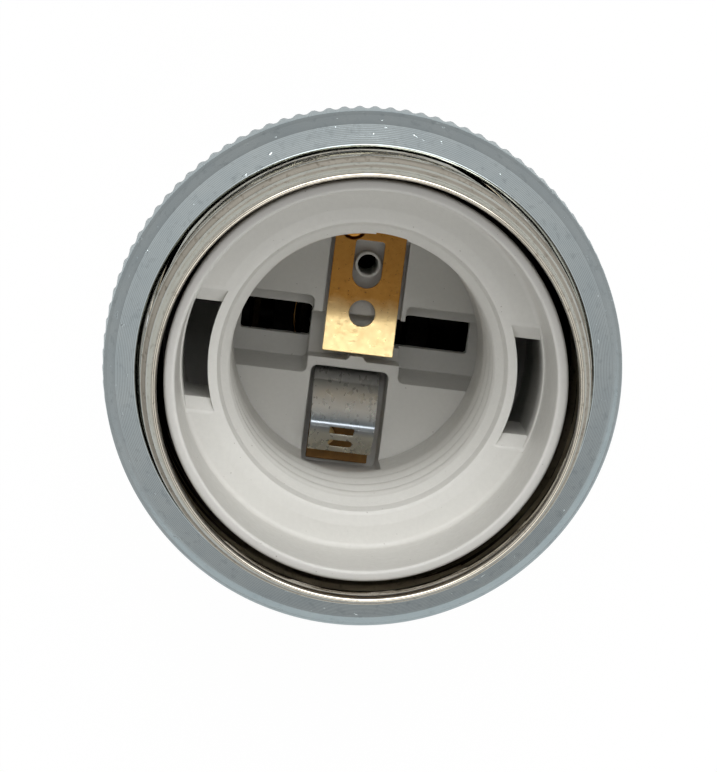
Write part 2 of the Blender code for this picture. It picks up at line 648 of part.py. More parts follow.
def thread_insert(surface):
    bm = bmesh.new()
    rows = 4
    lead_in_z = FLOOR_Z - FLOOR_SHOULDER_DROP - STEP_DROP - LEAD_IN_DROP
    sheet = helical_rows(bm, lamp_thread_radius, LAMP_THREAD_END_Z, lead_in_z, LAMP_THREAD_RUN_IN,
                         LAMP_THREAD_PITCH, rows, INSERT_COLUMNS, LAMP_THREAD_START)
    join_helical_rows(bm, sheet, rows)
    underside = FLOOR_Z - FLOOR_THICKNESS
    step_z = FLOOR_Z - FLOOR_SHOULDER_DROP
    profile = [
        (LAMP_CREST_RADIUS + STEP_DRAFT / 2, lead_in_z + STEP_DRAFT),
        (STEP_RADIUS - STEP_DRAFT, step_z - STEP_DROP),
        (STEP_RADIUS, step_z),
        (FLOOR_SHOULDER_RADIUS, FLOOR_Z),
        (COLLAR_INNER_RADIUS, FLOOR_Z),
        (COLLAR_INNER_RADIUS, INSERT_RIM_Z - RIM_ROUND),
        (COLLAR_INNER_RADIUS + RIM_ROUND, INSERT_RIM_Z),
        (COLLAR_RADIUS - RIM_ROUND, INSERT_RIM_Z),
        (COLLAR_RADIUS, INSERT_RIM_Z - RIM_ROUND),
        (COLLAR_RADIUS, FLANGE_TOP_Z),
        (CARRIER_RADIUS, FLANGE_TOP_Z),
        (CARRIER_RADIUS, FLANGE_BOTTOM_Z),
        (COLLAR_INNER_RADIUS, FLANGE_BOTTOM_Z),
        (COLLAR_INNER_RADIUS, underside),
        (TUBE_RADIUS, underside),
        (TUBE_RADIUS, TUBE_END_Z),
        (LAMP_CREST_RADIUS, TUBE_END_Z),
    ]
    chain = [highest_ring(sheet)]
    for radius, height in profile:
        chain.append(level_ring(bm, radius, height, INSERT_COLUMNS, LAMP_THREAD_START))
    chain.append(lowest_ring(sheet))
    for first, second in zip(chain, chain[1:]):
        join_rings(bm, first, second)
    insert = place("thread_insert", bm, surface)
    for side in (-1, 1):
        cut(insert, window_cutter(side), f"window_{side + 2}")
        for end in (-1, 1):
            combine(insert, shaft_wall(side, end), 'UNION', f"shaft_wall_{side + 2}_{end + 2}")
    notch = rectangle(POCKET_LEFT, POCKET_RIGHT, -TUBE_RADIUS - CUT_OVERRUN, LEAF_END)
    cut(insert, prism(notch, TUBE_END_Z - CUT_OVERRUN, TUBE_END_Z + LEAF_NOTCH_HEIGHT), "leaf_notch")
    for side in (-1, 1):
        centre = (0, side * SCREW_PLACE_RADIUS)
        boss = rod(INSERT_BOSS_RADIUS, TUBE_END_Z, underside + FLOOR_THICKNESS / 2, centre, HOLE_COLUMNS)
        combine(insert, boss, 'UNION', f"boss_{side + 2}")
        hole_radius = CARRIER_SCREW_RADIUS + SLIP_GAP
        hole_end = TUBE_END_Z + INSERT_BOSS_HOLE_DEPTH
        hole = rod(hole_radius, TUBE_END_Z - CUT_OVERRUN, hole_end, centre, HOLE_COLUMNS)
        cut(insert, hole, f"screw_hole_{side + 2}")
    return insert


def trench_outline():
    """Section of a trench across the carrier, in Y and Z: a shelf, the floor and a sloping side."""
    over = PLATEAU_Z + CUT_OVERRUN
    floor = PLATEAU_Z - TRENCH_FLOOR_DROP
    shelf = PLATEAU_Z - TRENCH_SHELF_DROP
    return [(TRENCH_BOTTOM, over), (TRENCH_BOTTOM, PLATEAU_Z), (TRENCH_BOTTOM + TRENCH_SLOPE, floor),
            (SLOT_TOP, floor), (SLOT_TOP, shelf), (TRENCH_TOP, shelf), (TRENCH_TOP, over)]


def contact_carrier(surface):
    skirt_inner = CARRIER_RADIUS - CARRIER_SKIRT_WALL
    carrier = place("contact_carrier", turned([
        (0, PLATEAU_Z),
        (CARRIER_RIM_INNER_RADIUS, PLATEAU_Z),
        (CARRIER_RIM_INNER_RADIUS, CARRIER_RIM_Z),
        (CARRIER_RADIUS, CARRIER_RIM_Z),
        (CARRIER_RADIUS, SHELL_END_Z),
        (skirt_inner, SHELL_END_Z),
        (skirt_inner, PLATE_UNDERSIDE_Z),
        (0, PLATE_UNDERSIDE_Z),
    ], CARRIER_COLUMNS), surface)
    over = PLATEAU_Z + CUT_OVERRUN
    under = PLATE_UNDERSIDE_Z - CUT_OVERRUN
    for name, low, high in (("left", -TRENCH_REACH, TRENCH_LEFT_END),
                            ("right", TRENCH_RIGHT_END, TRENCH_REACH)):
        cut(carrier, prism(trench_outline(), low, high, 'X'), f"trench_{name}")
        slot = rectangle(max(low, -SLOT_REACH), min(high, SLOT_REACH), SLOT_BOTTOM, SLOT_TOP)
        cut(carrier, prism(slot, under, PLATEAU_Z - TRENCH_FLOOR_DROP + CUT_OVERRUN), f"slot_{name}")
    inner_slot = rectangle(TRENCH_RIGHT_END - SLOT_INNER_REACH, TRENCH_RIGHT_END + CUT_OVERRUN / 4,
                           SLOT_BOTTOM, RECESS_TOP)
    cut(carrier, prism(inner_slot, under, over), "slot_inner")
    rib_left = CHANNEL_CENTRE - RIB_WIDTH / 2
    rib_right = CHANNEL_CENTRE + RIB_WIDTH / 2
    recess_left = TRENCH_LEFT_END - CUT_OVERRUN / 2
    recess_right = TRENCH_RIGHT_END + CUT_OVERRUN / 2
    recess = [(recess_left, RECESS_TOP), (recess_left, RECESS_BOTTOM), (rib_left, RECESS_BOTTOM),
              (rib_left, RIB_END), (rib_right, RIB_END), (rib_right, RECESS_BOTTOM),
              (recess_right, RECESS_BOTTOM), (recess_right, RECESS_TOP)]
    cut(carrier, prism(recess, PLATEAU_Z - RECESS_DROP, over), "spring_recess")
    half_channel = CENTRE_WIDTH / 2 + CHANNEL_SIDE_GAP
    channel_left = CHANNEL_CENTRE - half_channel
    channel_right = CHANNEL_CENTRE + half_channel
    channel_end = CENTRE_FIXED_END + SEAT_GAP
    seat_start = channel_end - CONTACT_SEAT_LENGTH
    channel = rectangle(channel_left, channel_right, RECESS_TOP - CUT_OVERRUN / 2, seat_start)
    cut(carrier, prism(channel, PLATEAU_Z - CHANNEL_DROP, over), "contact_channel")
    seat = rectangle(channel_left, channel_right, seat_start - CUT_OVERRUN / 2, channel_end)
    cut(carrier, prism(seat, CENTRE_SEAT_Z, over), "contact_seat")
    boss_centre = (CHANNEL_CENTRE, BOSS_PLACE)
    boss_foot = PLATEAU_Z - CHANNEL_DROP - CUT_OVERRUN
    boss = rod(BOSS_RADIUS, boss_foot, PLATEAU_Z - BOSS_DROP, boss_centre, BOSS_COLUMNS)
    combine(carrier, boss, 'UNION', "slot_boss")
    cut(carrier, rod(BOSS_HOLE_RADIUS, under, over, boss_centre, BOSS_COLUMNS), "boss_hole")
    pocket = rounded_rectangle(POCKET_LEFT, POCKET_RIGHT, POCKET_BOTTOM, POCKET_TOP, POCKET_CORNER)
    cut(carrier, prism(pocket, POCKET_FLOOR_Z, over), "leaf_pocket")
    for name, centre in (("centre", CENTRE_RIVET_PLACE), ("side", SIDE_RIVET_PLACE)):
        cut(carrier, rod(RIVET_RADIUS + SLIP_GAP, under, over, centre, HOLE_COLUMNS), f"{name}_rivet_hole")
    for side in (-1, 1):
        centre = (0, side * SCREW_PLACE_RADIUS)
        hole_radius = CARRIER_SCREW_RADIUS + SLIP_GAP
        cut(carrier, rod(hole_radius, under, over, centre, HOLE_COLUMNS), f"screw_hole_{side + 2}")
    return carrier


def centre_contact(surface):
    """Flat brass strip whose free end is set up towards the lamp."""
    flat_bottom = CENTRE_TOP_Z - CONTACT_SHEET
    left = CHANNEL_CENTRE - CENTRE_WIDTH / 2
    right = CHANNEL_CENTRE + CENTRE_WIDTH / 2
    section = [(CENTRE_FREE_END, flat_bottom + CENTRE_RISE), (CENTRE_BEND, flat_bottom),
               (CENTRE_FIXED_END, flat_bottom), (CENTRE_FIXED_END, CENTRE_TOP_Z),
               (CENTRE_BEND, CENTRE_TOP_Z), (CENTRE_FREE_END, CENTRE_TOP_Z + CENTRE_RISE)]
    pivot = (CHANNEL_CENTRE, CENTRE_RIVET_PLACE[1], CENTRE_TOP_Z - CONTACT_SHEET / 2)
    strip = place("centre_contact", prism(section, left, right, 'X'), surface, pivot)
    low = flat_bottom - CUT_OVERRUN
    high = CENTRE_TOP_Z + CENTRE_RISE + CUT_OVERRUN
    slot = punched_slot(CHANNEL_CENTRE, CENTRE_SLOT_LOW, CENTRE_SLOT_HIGH, CENTRE_SLOT_WIDTH / 2,
                        CENTRE_SLOT_CORNER)
    cut(strip, prism(slot, low, high), "slot")
    cut(strip, rod(CENTRE_HOLE_RADIUS, low, high, (CHANNEL_CENTRE, CENTRE_HOLE_PLACE), BOSS_COLUMNS), "hole")
    shank_hole = RIVET_RADIUS + SLIP_GAP
    head_hole = RIVET_HEAD_RADIUS + SLIP_GAP
    countersink = [(0, low), (shank_hole, low), (shank_hole, flat_bottom), (head_hole, CENTRE_TOP_Z),
                   (head_hole, high), (0, high)]
    cut(strip, turned(countersink, HOLE_COLUMNS, CENTRE_RIVET_PLACE), "rivet_hole")
    return strip


def leaf_path():
    """Middle line of the leaf in Y and Z, from its foot round the bend to its free end."""
    foot_z = STRIP_TOP_Z + SEAT_GAP + LEAF_SHEET / 2
    bend_radius = LEAF_BEND_HEIGHT / 2
    bend_y = LEAF_ROOT - bend_radius + LEAF_SHEET / 2
    points = [(LEAF_FOOT, foot_z)]
    for step in range(LEAF_BEND_STEPS + 1):
        angle = -pi / 2 + LEAF_BEND_ANGLE * step / LEAF_BEND_STEPS
        points.append((bend_y + bend_radius * cos(angle), foot_z + bend_radius * (1 + sin(angle))))
    fold_z = PLATEAU_Z + LEAF_FOLD_RISE - LEAF_SHEET / 2
    points.append((LEAF_FOLD, fold_z))
    points.append((LEAF_KNEE, fold_z - LEAF_KNEE_DROP))
    points.append((LEAF_END, fold_z - LEAF_END_DROP))
    return points


def thickened(path, thickness):
    """Outline of a bent sheet around its middle line."""
    sides = ([], [])
    for index, (y, z) in enumerate(path):
        before = path[max(index - 1, 0)]
        after = path[min(index + 1, len(path) - 1)]
        length = hypot(after[0] - before[0], after[1] - before[1])
        normal = (-(after[1] - before[1]) / length, (after[0] - before[0]) / length)
        for side, sign in zip(sides, (1, -1)):
            side.append((y + sign * normal[0] * thickness / 2, z + sign * normal[1] * thickness / 2))
    return sides[0] + sides[1][::-1]


def side_contact(surface):
    """Sprung leaf bent back over its own foot, with two windows in its turned-down end."""
    pivot = (LEAF_CENTRE, LEAF_PIVOT, STRIP_TOP_Z + SEAT_GAP + LEAF_BEND_HEIGHT / 2)
    outline = thickened(leaf_path(), LEAF_SHEET)
    bm = prism(outline, LEAF_CENTRE - LEAF_ROOT_WIDTH / 2, LEAF_CENTRE + LEAF_ROOT_WIDTH / 2, 'X')
    for point in bm.verts:
        share = min(max((LEAF_ROOT - point.co.y) / (LEAF_ROOT - LEAF_END), 0.0), 1.0)
        width = LEAF_ROOT_WIDTH + share * (LEAF_END_WIDTH - LEAF_ROOT_WIDTH)
        point.co.x = LEAF_CENTRE + (point.co.x - LEAF_CENTRE) * width / LEAF_ROOT_WIDTH
    leaf = place("side_contact", bm, surface, pivot)
    left = LEAF_CENTRE - LEAF_SLOT_WIDTH / 2
    for number, middle in enumerate(((LEAF_FOLD + LEAF_KNEE) / 2, (LEAF_KNEE + LEAF_END) / 2)):
        low = middle - LEAF_SLOT_LENGTH / 2
        window = rectangle(left, left + LEAF_SLOT_WIDTH, low, low + LEAF_SLOT_LENGTH)
        cut(leaf, prism(window, PLATEAU_Z, PLATEAU_Z + LEAF_FOLD_RISE + CUT_OVERRUN), f"window_{number}")
    return leaf


def side_contact_strip(surface):
    outline = rectangle(LEAF_CENTRE - STRIP_WIDTH / 2, LEAF_CENTRE + STRIP_WIDTH / 2,
                        STRIP_OUTER_END, STRIP_INNER_END)
    strip = place("side_contact_strip", prism(outline, STRIP_TOP_Z - STRIP_SHEET, STRIP_TOP_Z), surface)
    hole = rod(RIVET_RADIUS + SLIP_GAP, STRIP_TOP_Z - STRIP_SHEET - CUT_OVERRUN, STRIP_TOP_Z + CUT_OVERRUN,
               SIDE_RIVET_PLACE, HOLE_COLUMNS)
    cut(strip, hole, "rivet_hole")
    return strip


def centre_rivet(surface):
    """Rivet with a countersunk head, flush with the centre contact."""
    head_bottom = CENTRE_TOP_Z - CONTACT_SHEET
    profile = [(0, TERMINAL_BOTTOM_Z), (RIVET_RADIUS, TERMINAL_BOTTOM_Z), (RIVET_RADIUS, head_bottom),
               (RIVET_HEAD_RADIUS, CENTRE_TOP_Z), (0, CENTRE_TOP_Z)]
    return place("centre_rivet", turned(profile, HOLE_COLUMNS, CENTRE_RIVET_PLACE), surface)


def side_rivet(surface):
    """Rivet with its head on the strip and its shank down through the terminal."""
    head_bottom = STRIP_TOP_Z + SEAT_GAP
    head_top = head_bottom + RIVET_HEAD_HEIGHT
    profile = [(0, TERMINAL_BOTTOM_Z), (RIVET_RADIUS, TERMINAL_BOTTOM_Z), (RIVET_RADIUS, head_bottom),
               (RIVET_HEAD_RADIUS, head_bottom), (RIVET_HEAD_RADIUS, head_bottom + RIVET_HEAD_HEIGHT / 2),
               (RIVET_CROWN_RADIUS, head_top), (0, head_top)]
    return place("side_rivet", turned(profile, HOLE_COLUMNS, SIDE_RIVET_PLACE), surface)


def terminal(name, middle, rivet_place, surface):
    """Terminal block with a wire hole along Y, its screw hole and its rivet hole."""
    half = TERMINAL_LENGTH / 2
    outline = rectangle(-half, half, middle - TERMINAL_WIDTH / 2, middle + TERMINAL_WIDTH / 2)
    block = place(name, prism(outline, TERMINAL_BOTTOM_Z, TERMINAL_TOP_Z), surface)
    over = TERMINAL_TOP_Z + CUT_OVERRUN
    under = TERMINAL_BOTTOM_Z - CUT_OVERRUN
    cut(block, rod(RIVET_RADIUS + SLIP_GAP, under, over, rivet_place, HOLE_COLUMNS), "rivet_hole")
    screw_centre = (TERMINAL_SCREW_OFFSET, middle)
    screw_hole = rod(TERMINAL_SCREW_RADIUS + SLIP_GAP, under, over, screw_centre, HOLE_COLUMNS)
    cut(block, screw_hole, "screw_hole")
    wire_hole = rod(WIRE_HOLE_RADIUS, -TERMINAL_WIDTH, TERMINAL_WIDTH, columns=HOLE_COLUMNS)
    turn = Matrix.Rotation(pi / 2, 4, 'X')
    wire_z = (TERMINAL_BOTTOM_Z + TERMINAL_TOP_Z) / 2 + WIRE_HOLE_RISE
    shift = Matrix.Translation((TERMINAL_SCREW_OFFSET, middle, wire_z))
    bmesh.ops.transform(wire_hole, matrix=shift @ turn, verts=wire_hole.verts)
    cut(block, wire_hole, "wire_hole")
    return block


def slotted_screw(name, centre, head_top, head, shank, surface):
    """Cheese-head screw pointing up, with its slot below. head and shank are (radius, length)."""
    head_radius, head_length = head
    shank_radius, shank_length = shank
    bottom = head_top - head_length
    profile = [(0, bottom), (head_radius, bottom), (head_radius, head_top), (shank_radius, head_top),
               (shank_radius, head_top + shank_length), (0, head_top + shank_length)]
    screw = place(name, turned(profile, SMALL_COLUMNS, centre), surface)
    half = DRIVE_SLOT_WIDTH / 2
    x, y = centre
    slot = rectangle(x - 2 * head_radius, x + 2 * head_radius, y - half, y + half)
    cut(screw, prism(slot, bottom - CUT_OVERRUN, bottom + DRIVE_SLOT_DEPTH), "slot")
    return screw


def cap(surface):
    """Drawn cap: skirt over the shell, ledge under the stack, dome to a flat end with the bush's hole."""
    skirt_inner = CAP_RADIUS - CAP_SHEET
    outer = []
    inner = []
    hole = BUSH_SHANK_RADIUS + SLIP_GAP
    dome_width = CAP_LEDGE_INNER_RADIUS + CAP_SHEET - CAP_END_RADIUS
    for step in range(CAP_DOME_STEPS + 1):
        angle = pi / 2 * step / CAP_DOME_STEPS
        radius = CAP_END_RADIUS + dome_width * cos(angle)
        height = LEDGE_Z - CAP_SHEET - CAP_DOME_HEIGHT * sin(angle)
        outer.append((radius, height))
        inner.append((radius - CAP_SHEET * cos(angle), height + CAP_SHEET * sin(angle)))
    profile = [(CAP_RADIUS, LEDGE_Z + CAP_SKIRT_LENGTH), (CAP_RADIUS, LEDGE_Z - CAP_SHEET), *outer,
               (hole, CAP_END_Z), (hole, CAP_END_Z + CAP_SHEET), *inner[::-1],
               (CAP_LEDGE_INNER_RADIUS, LEDGE_Z), (skirt_inner, LEDGE_Z),
               (skirt_inner, LEDGE_Z + CAP_SKIRT_LENGTH)]
    return place("cap", turned(profile, CAP_COLUMNS), surface)


def entry_bush(surface):
    top = BUSH_COLLAR_HEIGHT + BUSH_SHANK_LENGTH
    edge = BUSH_CHAMFER
    profile = [(BUSH_BORE_RADIUS + edge, 0), (BUSH_COLLAR_RADIUS - edge, 0), (BUSH_COLLAR_RADIUS, edge),
               (BUSH_COLLAR_RADIUS, BUSH_COLLAR_HEIGHT), (BUSH_SHANK_RADIUS, BUSH_COLLAR_HEIGHT),
               (BUSH_SHANK_RADIUS, top - edge), (BUSH_SHANK_RADIUS - edge, top),
               (BUSH_BORE_RADIUS + edge, top), (BUSH_BORE_RADIUS, top - edge), (BUSH_BORE_RADIUS, edge)]
    bush = place("entry_bush", turned(profile, BUSH_COLUMNS), surface)
    hole = rod(GRUB_RADIUS + SLIP_GAP, BUSH_BORE_RADIUS - CUT_OVERRUN, BUSH_COLLAR_RADIUS + CUT_OVERRUN,
               columns=HOLE_COLUMNS)
    aim_along_x(hole, BUSH_COLLAR_HEIGHT / 2)
    cut(bush, hole, "grub_hole")
    return bush


def aim_along_x(bm, height, side=1):
    """Lay a rod that was made along Z out along +X or -X, at a height."""
    turn = Matrix.Rotation(side * pi / 2, 4, 'Y')
    shift = Matrix.Translation((0, 0, height))
    bmesh.ops.transform(bm, matrix=shift @ turn, verts=bm.verts)


def bush_grub_screw(surface):
    start = BUSH_COLLAR_RADIUS - GRUB_LENGTH
    middle = BUSH_COLLAR_HEIGHT / 2
    bm = rod(GRUB_RADIUS, start, BUSH_COLLAR_RADIUS)
    aim_along_x(bm, middle)
    screw = place("bush_grub_screw", bm, surface)
    half = DRIVE_SLOT_WIDTH / 2
    slot = rectangle(-2 * GRUB_RADIUS, 2 * GRUB_RADIUS, middle - half, middle + half)
    cutter = prism(slot, BUSH_COLLAR_RADIUS - DRIVE_SLOT_DEPTH, BUSH_COLLAR_RADIUS + CUT_OVERRUN, 'X')
    cut(screw, cutter, "slot")
    return screw


def bush_nut(surface):
    """Hexagon nut on the bush's shank, clamping the earth tag to the cap's end."""
    corner = NUT_FLAT_RADIUS * 2 / sqrt(3)
    outline = []
    for step in range(6):
        angle = pi / 3 * (step + 0.5)
        outline.append((corner * cos(angle), corner * sin(angle)))
    top = NUT_BOTTOM_Z + NUT_HEIGHT
    nut = place("bush_nut", prism(outline, NUT_BOTTOM_Z, top), surface)
    bore_radius = BUSH_SHANK_RADIUS + SLIP_GAP
    bore = rod(bore_radius, NUT_BOTTOM_Z - CUT_OVERRUN, top + CUT_OVERRUN, columns=BUSH_COLUMNS)
    cut(nut, bore, "bore")
    return nut


def earth_tag(surface):
    """Washer under the nut with a tongue turned up beside it for the earth screw."""
    hole = BUSH_SHANK_RADIUS + SLIP_GAP
    top = TAG_BOTTOM_Z + TAG_THICKNESS
    profile = [(hole, TAG_BOTTOM_Z), (TAG_RADIUS, TAG_BOTTOM_Z), (TAG_RADIUS, top), (hole, top)]
    tag = place("earth_tag", turned(profile, BUSH_COLUMNS), surface)
    section = [(-TAG_REACH, TAG_BOTTOM_Z), (-hole - CUT_OVERRUN, TAG_BOTTOM_Z), (-hole - CUT_OVERRUN, top),
               (-TAG_REACH + TAG_THICKNESS, top), (-TAG_REACH + TAG_THICKNESS, TAG_BOTTOM_Z + TAG_HEIGHT),
               (-TAG_REACH, TAG_BOTTOM_Z + TAG_HEIGHT)]
    tongue = prism(section, -TAG_WIDTH / 2, TAG_WIDTH / 2, 'X')
    turn = Matrix.Rotation(pi / 2, 4, 'Z')
    bmesh.ops.transform(tongue, matrix=turn.inverted(), verts=tongue.verts)
    combine(tag, tongue, 'UNION', "tongue")
    screw_hole = rod(EARTH_SCREW_RADIUS + SLIP_GAP, TAG_REACH - 2 * TAG_THICKNESS, TAG_REACH + CUT_OVERRUN,
                     columns=HOLE_COLUMNS)
    aim_along_x(screw_hole, earth_screw_height(), -1)
    cut(tag, screw_hole, "screw_hole")
    return tag


def earth_screw_height():
    return TAG_BOTTOM_Z + TAG_HEIGHT - TAG_WIDTH / 2


def earth_screw(surface):
    """Screw through the tag's tongue, its head on the side of the cap's wall."""
    head = TAG_REACH + SEAT_GAP
    profile = [(0, head - EARTH_SCREW_LENGTH), (EARTH_SCREW_RADIUS, head - EARTH_SCREW_LENGTH),
               (EARTH_SCREW_RADIUS, head), (EARTH_SCREW_HEAD_RADIUS, head),
               (EARTH_SCREW_HEAD_RADIUS, head + EARTH_SCREW_HEAD_HEIGHT), (0, head + EARTH_SCREW_HEAD_HEIGHT)]
    bm = turned(profile, SMALL_COLUMNS)
    aim_along_x(bm, earth_screw_height(), -1)
    screw = place("earth_screw", bm, surface)
    half = DRIVE_SLOT_WIDTH / 2
    height = earth_screw_height()
    slot = rectangle(-2 * EARTH_SCREW_HEAD_RADIUS, 2 * EARTH_SCREW_HEAD_RADIUS, height - half, height + half)
    outer = head + EARTH_SCREW_HEAD_HEIGHT
    cut(screw, prism(slot, -outer - CUT_OVERRUN, -outer + DRIVE_SLOT_DEPTH, 'X'), "slot")
    return screw


def build():
    clear_scene()
    nickel = finish("nickel_plate", (0.72, 0.70, 0.66), 1.0, 0.22)
    chrome = finish("blue_zinc_plate", (0.55, 0.62, 0.68), 1.0, 0.25)
    moulding = finish("grey_moulding", (0.60, 0.60, 0.57), 0.0, 0.45)
    brass = finish("brass", (0.80, 0.55, 0.22), 1.0, 0.28)
    spring = finish("plated_spring", (0.70, 0.70, 0.70), 1.0, 0.2)
    bronze = finish("bronze_strip", (0.50, 0.26, 0.09), 1.0, 0.35)
    steel = finish("plated_steel", (0.60, 0.60, 0.60), 1.0, 0.35)
    outer_shell(nickel)
    cap(nickel)
    shade_ring(chrome)
    thread_insert(moulding)
    contact_carrier(moulding)
    centre_contact(brass)
    side_contact(spring)
    side_contact_strip(bronze)
    centre_rivet(brass)
    side_rivet(brass)
    for name, middle, rivet_place in (("centre", CENTRE_TERMINAL_PLACE, CENTRE_RIVET_PLACE),
                                      ("side", SIDE_TERMINAL_PLACE, SIDE_RIVET_PLACE)):
        terminal(f"{name}_terminal", middle, rivet_place, brass)
        slotted_screw(f"{name}_terminal_screw", (TERMINAL_SCREW_OFFSET, middle), TERMINAL_BOTTOM_Z - SEAT_GAP,
                      (TERMINAL_SCREW_HEAD_RADIUS, TERMINAL_SCREW_HEAD_HEIGHT),
                      (TERMINAL_SCREW_RADIUS, TERMINAL_SCREW_ENGAGEMENT + SEAT_GAP), steel)
    for name, side in (("upper", 1), ("lower", -1)):
        slotted_screw(f"carrier_screw_{name}", (0, side * SCREW_PLACE_RADIUS), PLATE_UNDERSIDE_Z - SEAT_GAP,
                      (CARRIER_SCREW_HEAD_RADIUS, CARRIER_SCREW_HEAD_HEIGHT),
                      (CARRIER_SCREW_RADIUS, CARRIER_PLATE + 2 * SEAT_GAP + CARRIER_SCREW_ENGAGEMENT), steel)
    entry_bush(brass)
    bush_nut(steel)
    bush_grub_screw(steel)
    earth_tag(brass)
    earth_screw(steel)


build()
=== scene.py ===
"""Looks of the pendant lamp socket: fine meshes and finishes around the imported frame.

All sizes are in metres, with the socket's axis along Z and its mouth upwards.
"""

from math import asin, cos, hypot, pi, radians, sin

import bmesh
import bpy
import numpy as np
from mathutils import Matrix, Vector


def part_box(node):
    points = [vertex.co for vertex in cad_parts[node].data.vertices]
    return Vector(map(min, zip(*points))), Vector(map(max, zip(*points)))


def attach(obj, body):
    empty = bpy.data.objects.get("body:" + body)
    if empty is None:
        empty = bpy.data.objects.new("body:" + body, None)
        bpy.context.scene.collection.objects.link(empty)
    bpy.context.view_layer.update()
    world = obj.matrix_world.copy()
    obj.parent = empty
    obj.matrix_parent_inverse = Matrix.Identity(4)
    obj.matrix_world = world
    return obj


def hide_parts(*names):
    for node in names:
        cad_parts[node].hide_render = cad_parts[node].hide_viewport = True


MM = 0.001

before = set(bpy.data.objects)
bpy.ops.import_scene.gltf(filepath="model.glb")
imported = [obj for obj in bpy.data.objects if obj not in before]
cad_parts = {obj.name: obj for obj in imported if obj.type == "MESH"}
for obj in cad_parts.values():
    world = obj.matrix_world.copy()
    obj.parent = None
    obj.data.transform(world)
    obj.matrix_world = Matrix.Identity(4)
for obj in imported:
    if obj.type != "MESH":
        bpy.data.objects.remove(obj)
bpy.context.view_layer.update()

# Places taken from the frame
RIM_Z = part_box("outer_shell")[1].z
SHELL_END_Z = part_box("outer_shell")[0].z
RING_TOP_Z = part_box("shade_ring")[1].z
RING_BOTTOM_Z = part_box("shade_ring")[0].z
RING_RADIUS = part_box("shade_ring")[1].y
INSERT_RIM_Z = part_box("thread_insert")[1].z
TUBE_END_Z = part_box("thread_insert")[0].z
CARRIER_RIM_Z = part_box("contact_carrier")[1].z
CAP_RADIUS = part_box("cap")[1].x
CAP_TOP_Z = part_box("cap")[1].z
CAP_END_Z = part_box("cap")[0].z
CONTACT_LOW, CONTACT_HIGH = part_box("centre_contact")
LEAF_LOW, LEAF_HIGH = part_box("side_contact")
BUSH_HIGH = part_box("entry_bush")[1]

SEAT_GAP = 0.3 * MM
SHARP_ANGLE = radians(35)
STRIP_SHARP_ANGLE = radians(50)

# Outer shell
SHELL_SHEET = 0.4 * MM
SHELL_CREST_RADIUS = 19.95 * MM
SHELL_THREAD_HEIGHT = 0.8 * MM
SHELL_RIM_RADIUS = 18.6 * MM
SHELL_THREAD_PITCH = 2.5 * MM
SHELL_THREAD_LENGTH = 23.5 * MM
SHELL_TAPER_LENGTH = 5.8 * MM
SHELL_PLAIN_RADIUS = 20.0 * MM
SHELL_STEP_LENGTH = 0.9 * MM
SHELL_CREST_DROP = 3.2 * MM
SHELL_CREST_ANGLE = radians(15.6)
SHELL_COLUMNS = 300
SHELL_THREAD_ROWS = 186
RIM_GROOVE_DEPTH = 0.16 * MM
RIM_GROOVE_DROP = 0.75 * MM
RIM_GROOVE_WIDTH = 0.28 * MM

# Shade ring
RING_BORE_RADIUS = 20.25 * MM
RING_MOUTH_RADIUS = 20.61 * MM
RING_MOUTH_CHAMFER = 0.7 * MM
RING_FACE_RADIUS = 22.46 * MM
RING_FACE_DROP = 1.34 * MM
RING_SHOULDER_RADIUS = 23.25 * MM
RING_SHOULDER_DROP = 1.15 * MM
RING_KNURL_START = 0.45 * MM
RING_KNURL_END = 0.55 * MM
RING_FOOT_RADIUS = 23.3 * MM
KNURL_DEPTH = 0.22 * MM
KNURL_TEETH = 105
LATHE_GROOVES = 12
LATHE_DEPTH = 0.008 * MM
RING_COLUMNS = 8 * KNURL_TEETH

# Threaded insert
COLLAR_RADIUS = 17.81 * MM
COLLAR_WALL = 0.98 * MM
FLOOR_Z = RIM_Z - 14.72 * MM
FLOOR_THICKNESS = 2.0 * MM
FLOOR_SHOULDER_RADIUS = 14.75 * MM
FLOOR_SHOULDER_DROP = 0.15 * MM
STEP_RADIUS = 13.4 * MM
STEP_FOOT_RADIUS = 13.1 * MM
STEP_DROP = 1.0 * MM
LEAD_IN_DROP = 0.9 * MM
LAMP_CREST_RADIUS = 12.25 * MM
LAMP_THREAD_HEIGHT = 1.1 * MM
LAMP_THREAD_PITCH = 25.4 / 7 * MM
LAMP_CREST_DROP = 17.47 * MM
LAMP_THREAD_END_Z = RIM_Z - 29.7 * MM
LAMP_CREST_ANGLE = radians(86.6)
TUBE_RADIUS = 14.2 * MM
FLANGE_RADIUS = 19.25 * MM
FLANGE_THICKNESS = 2.0 * MM
INSERT_COLUMNS = 240
WINDOW_INNER_RADIUS = 14.25 * MM
WINDOW_OUTER_RADIUS = 16.6 * MM
WINDOW_HALF_LENGTH = 4.5 * MM
WINDOW_CHAMFER_LENGTH = 1.2 * MM
WINDOW_CHAMFER_DROP = 0.8 * MM
WINDOW_EDGE = 0.15 * MM
SHAFT_DEPTH = 10.0 * MM
SHAFT_SETBACK = 0.1 * MM
SHAFT_WALL = 1.1 * MM
LEAF_NOTCH_HEIGHT = 5.7 * MM
LIP_NOTCH_START = radians(77)
LIP_NOTCH_END = radians(91)
LIP_NOTCH_HEIGHT = 1.3 * MM
LIP_NOTCH_DEPTH = 0.8 * MM

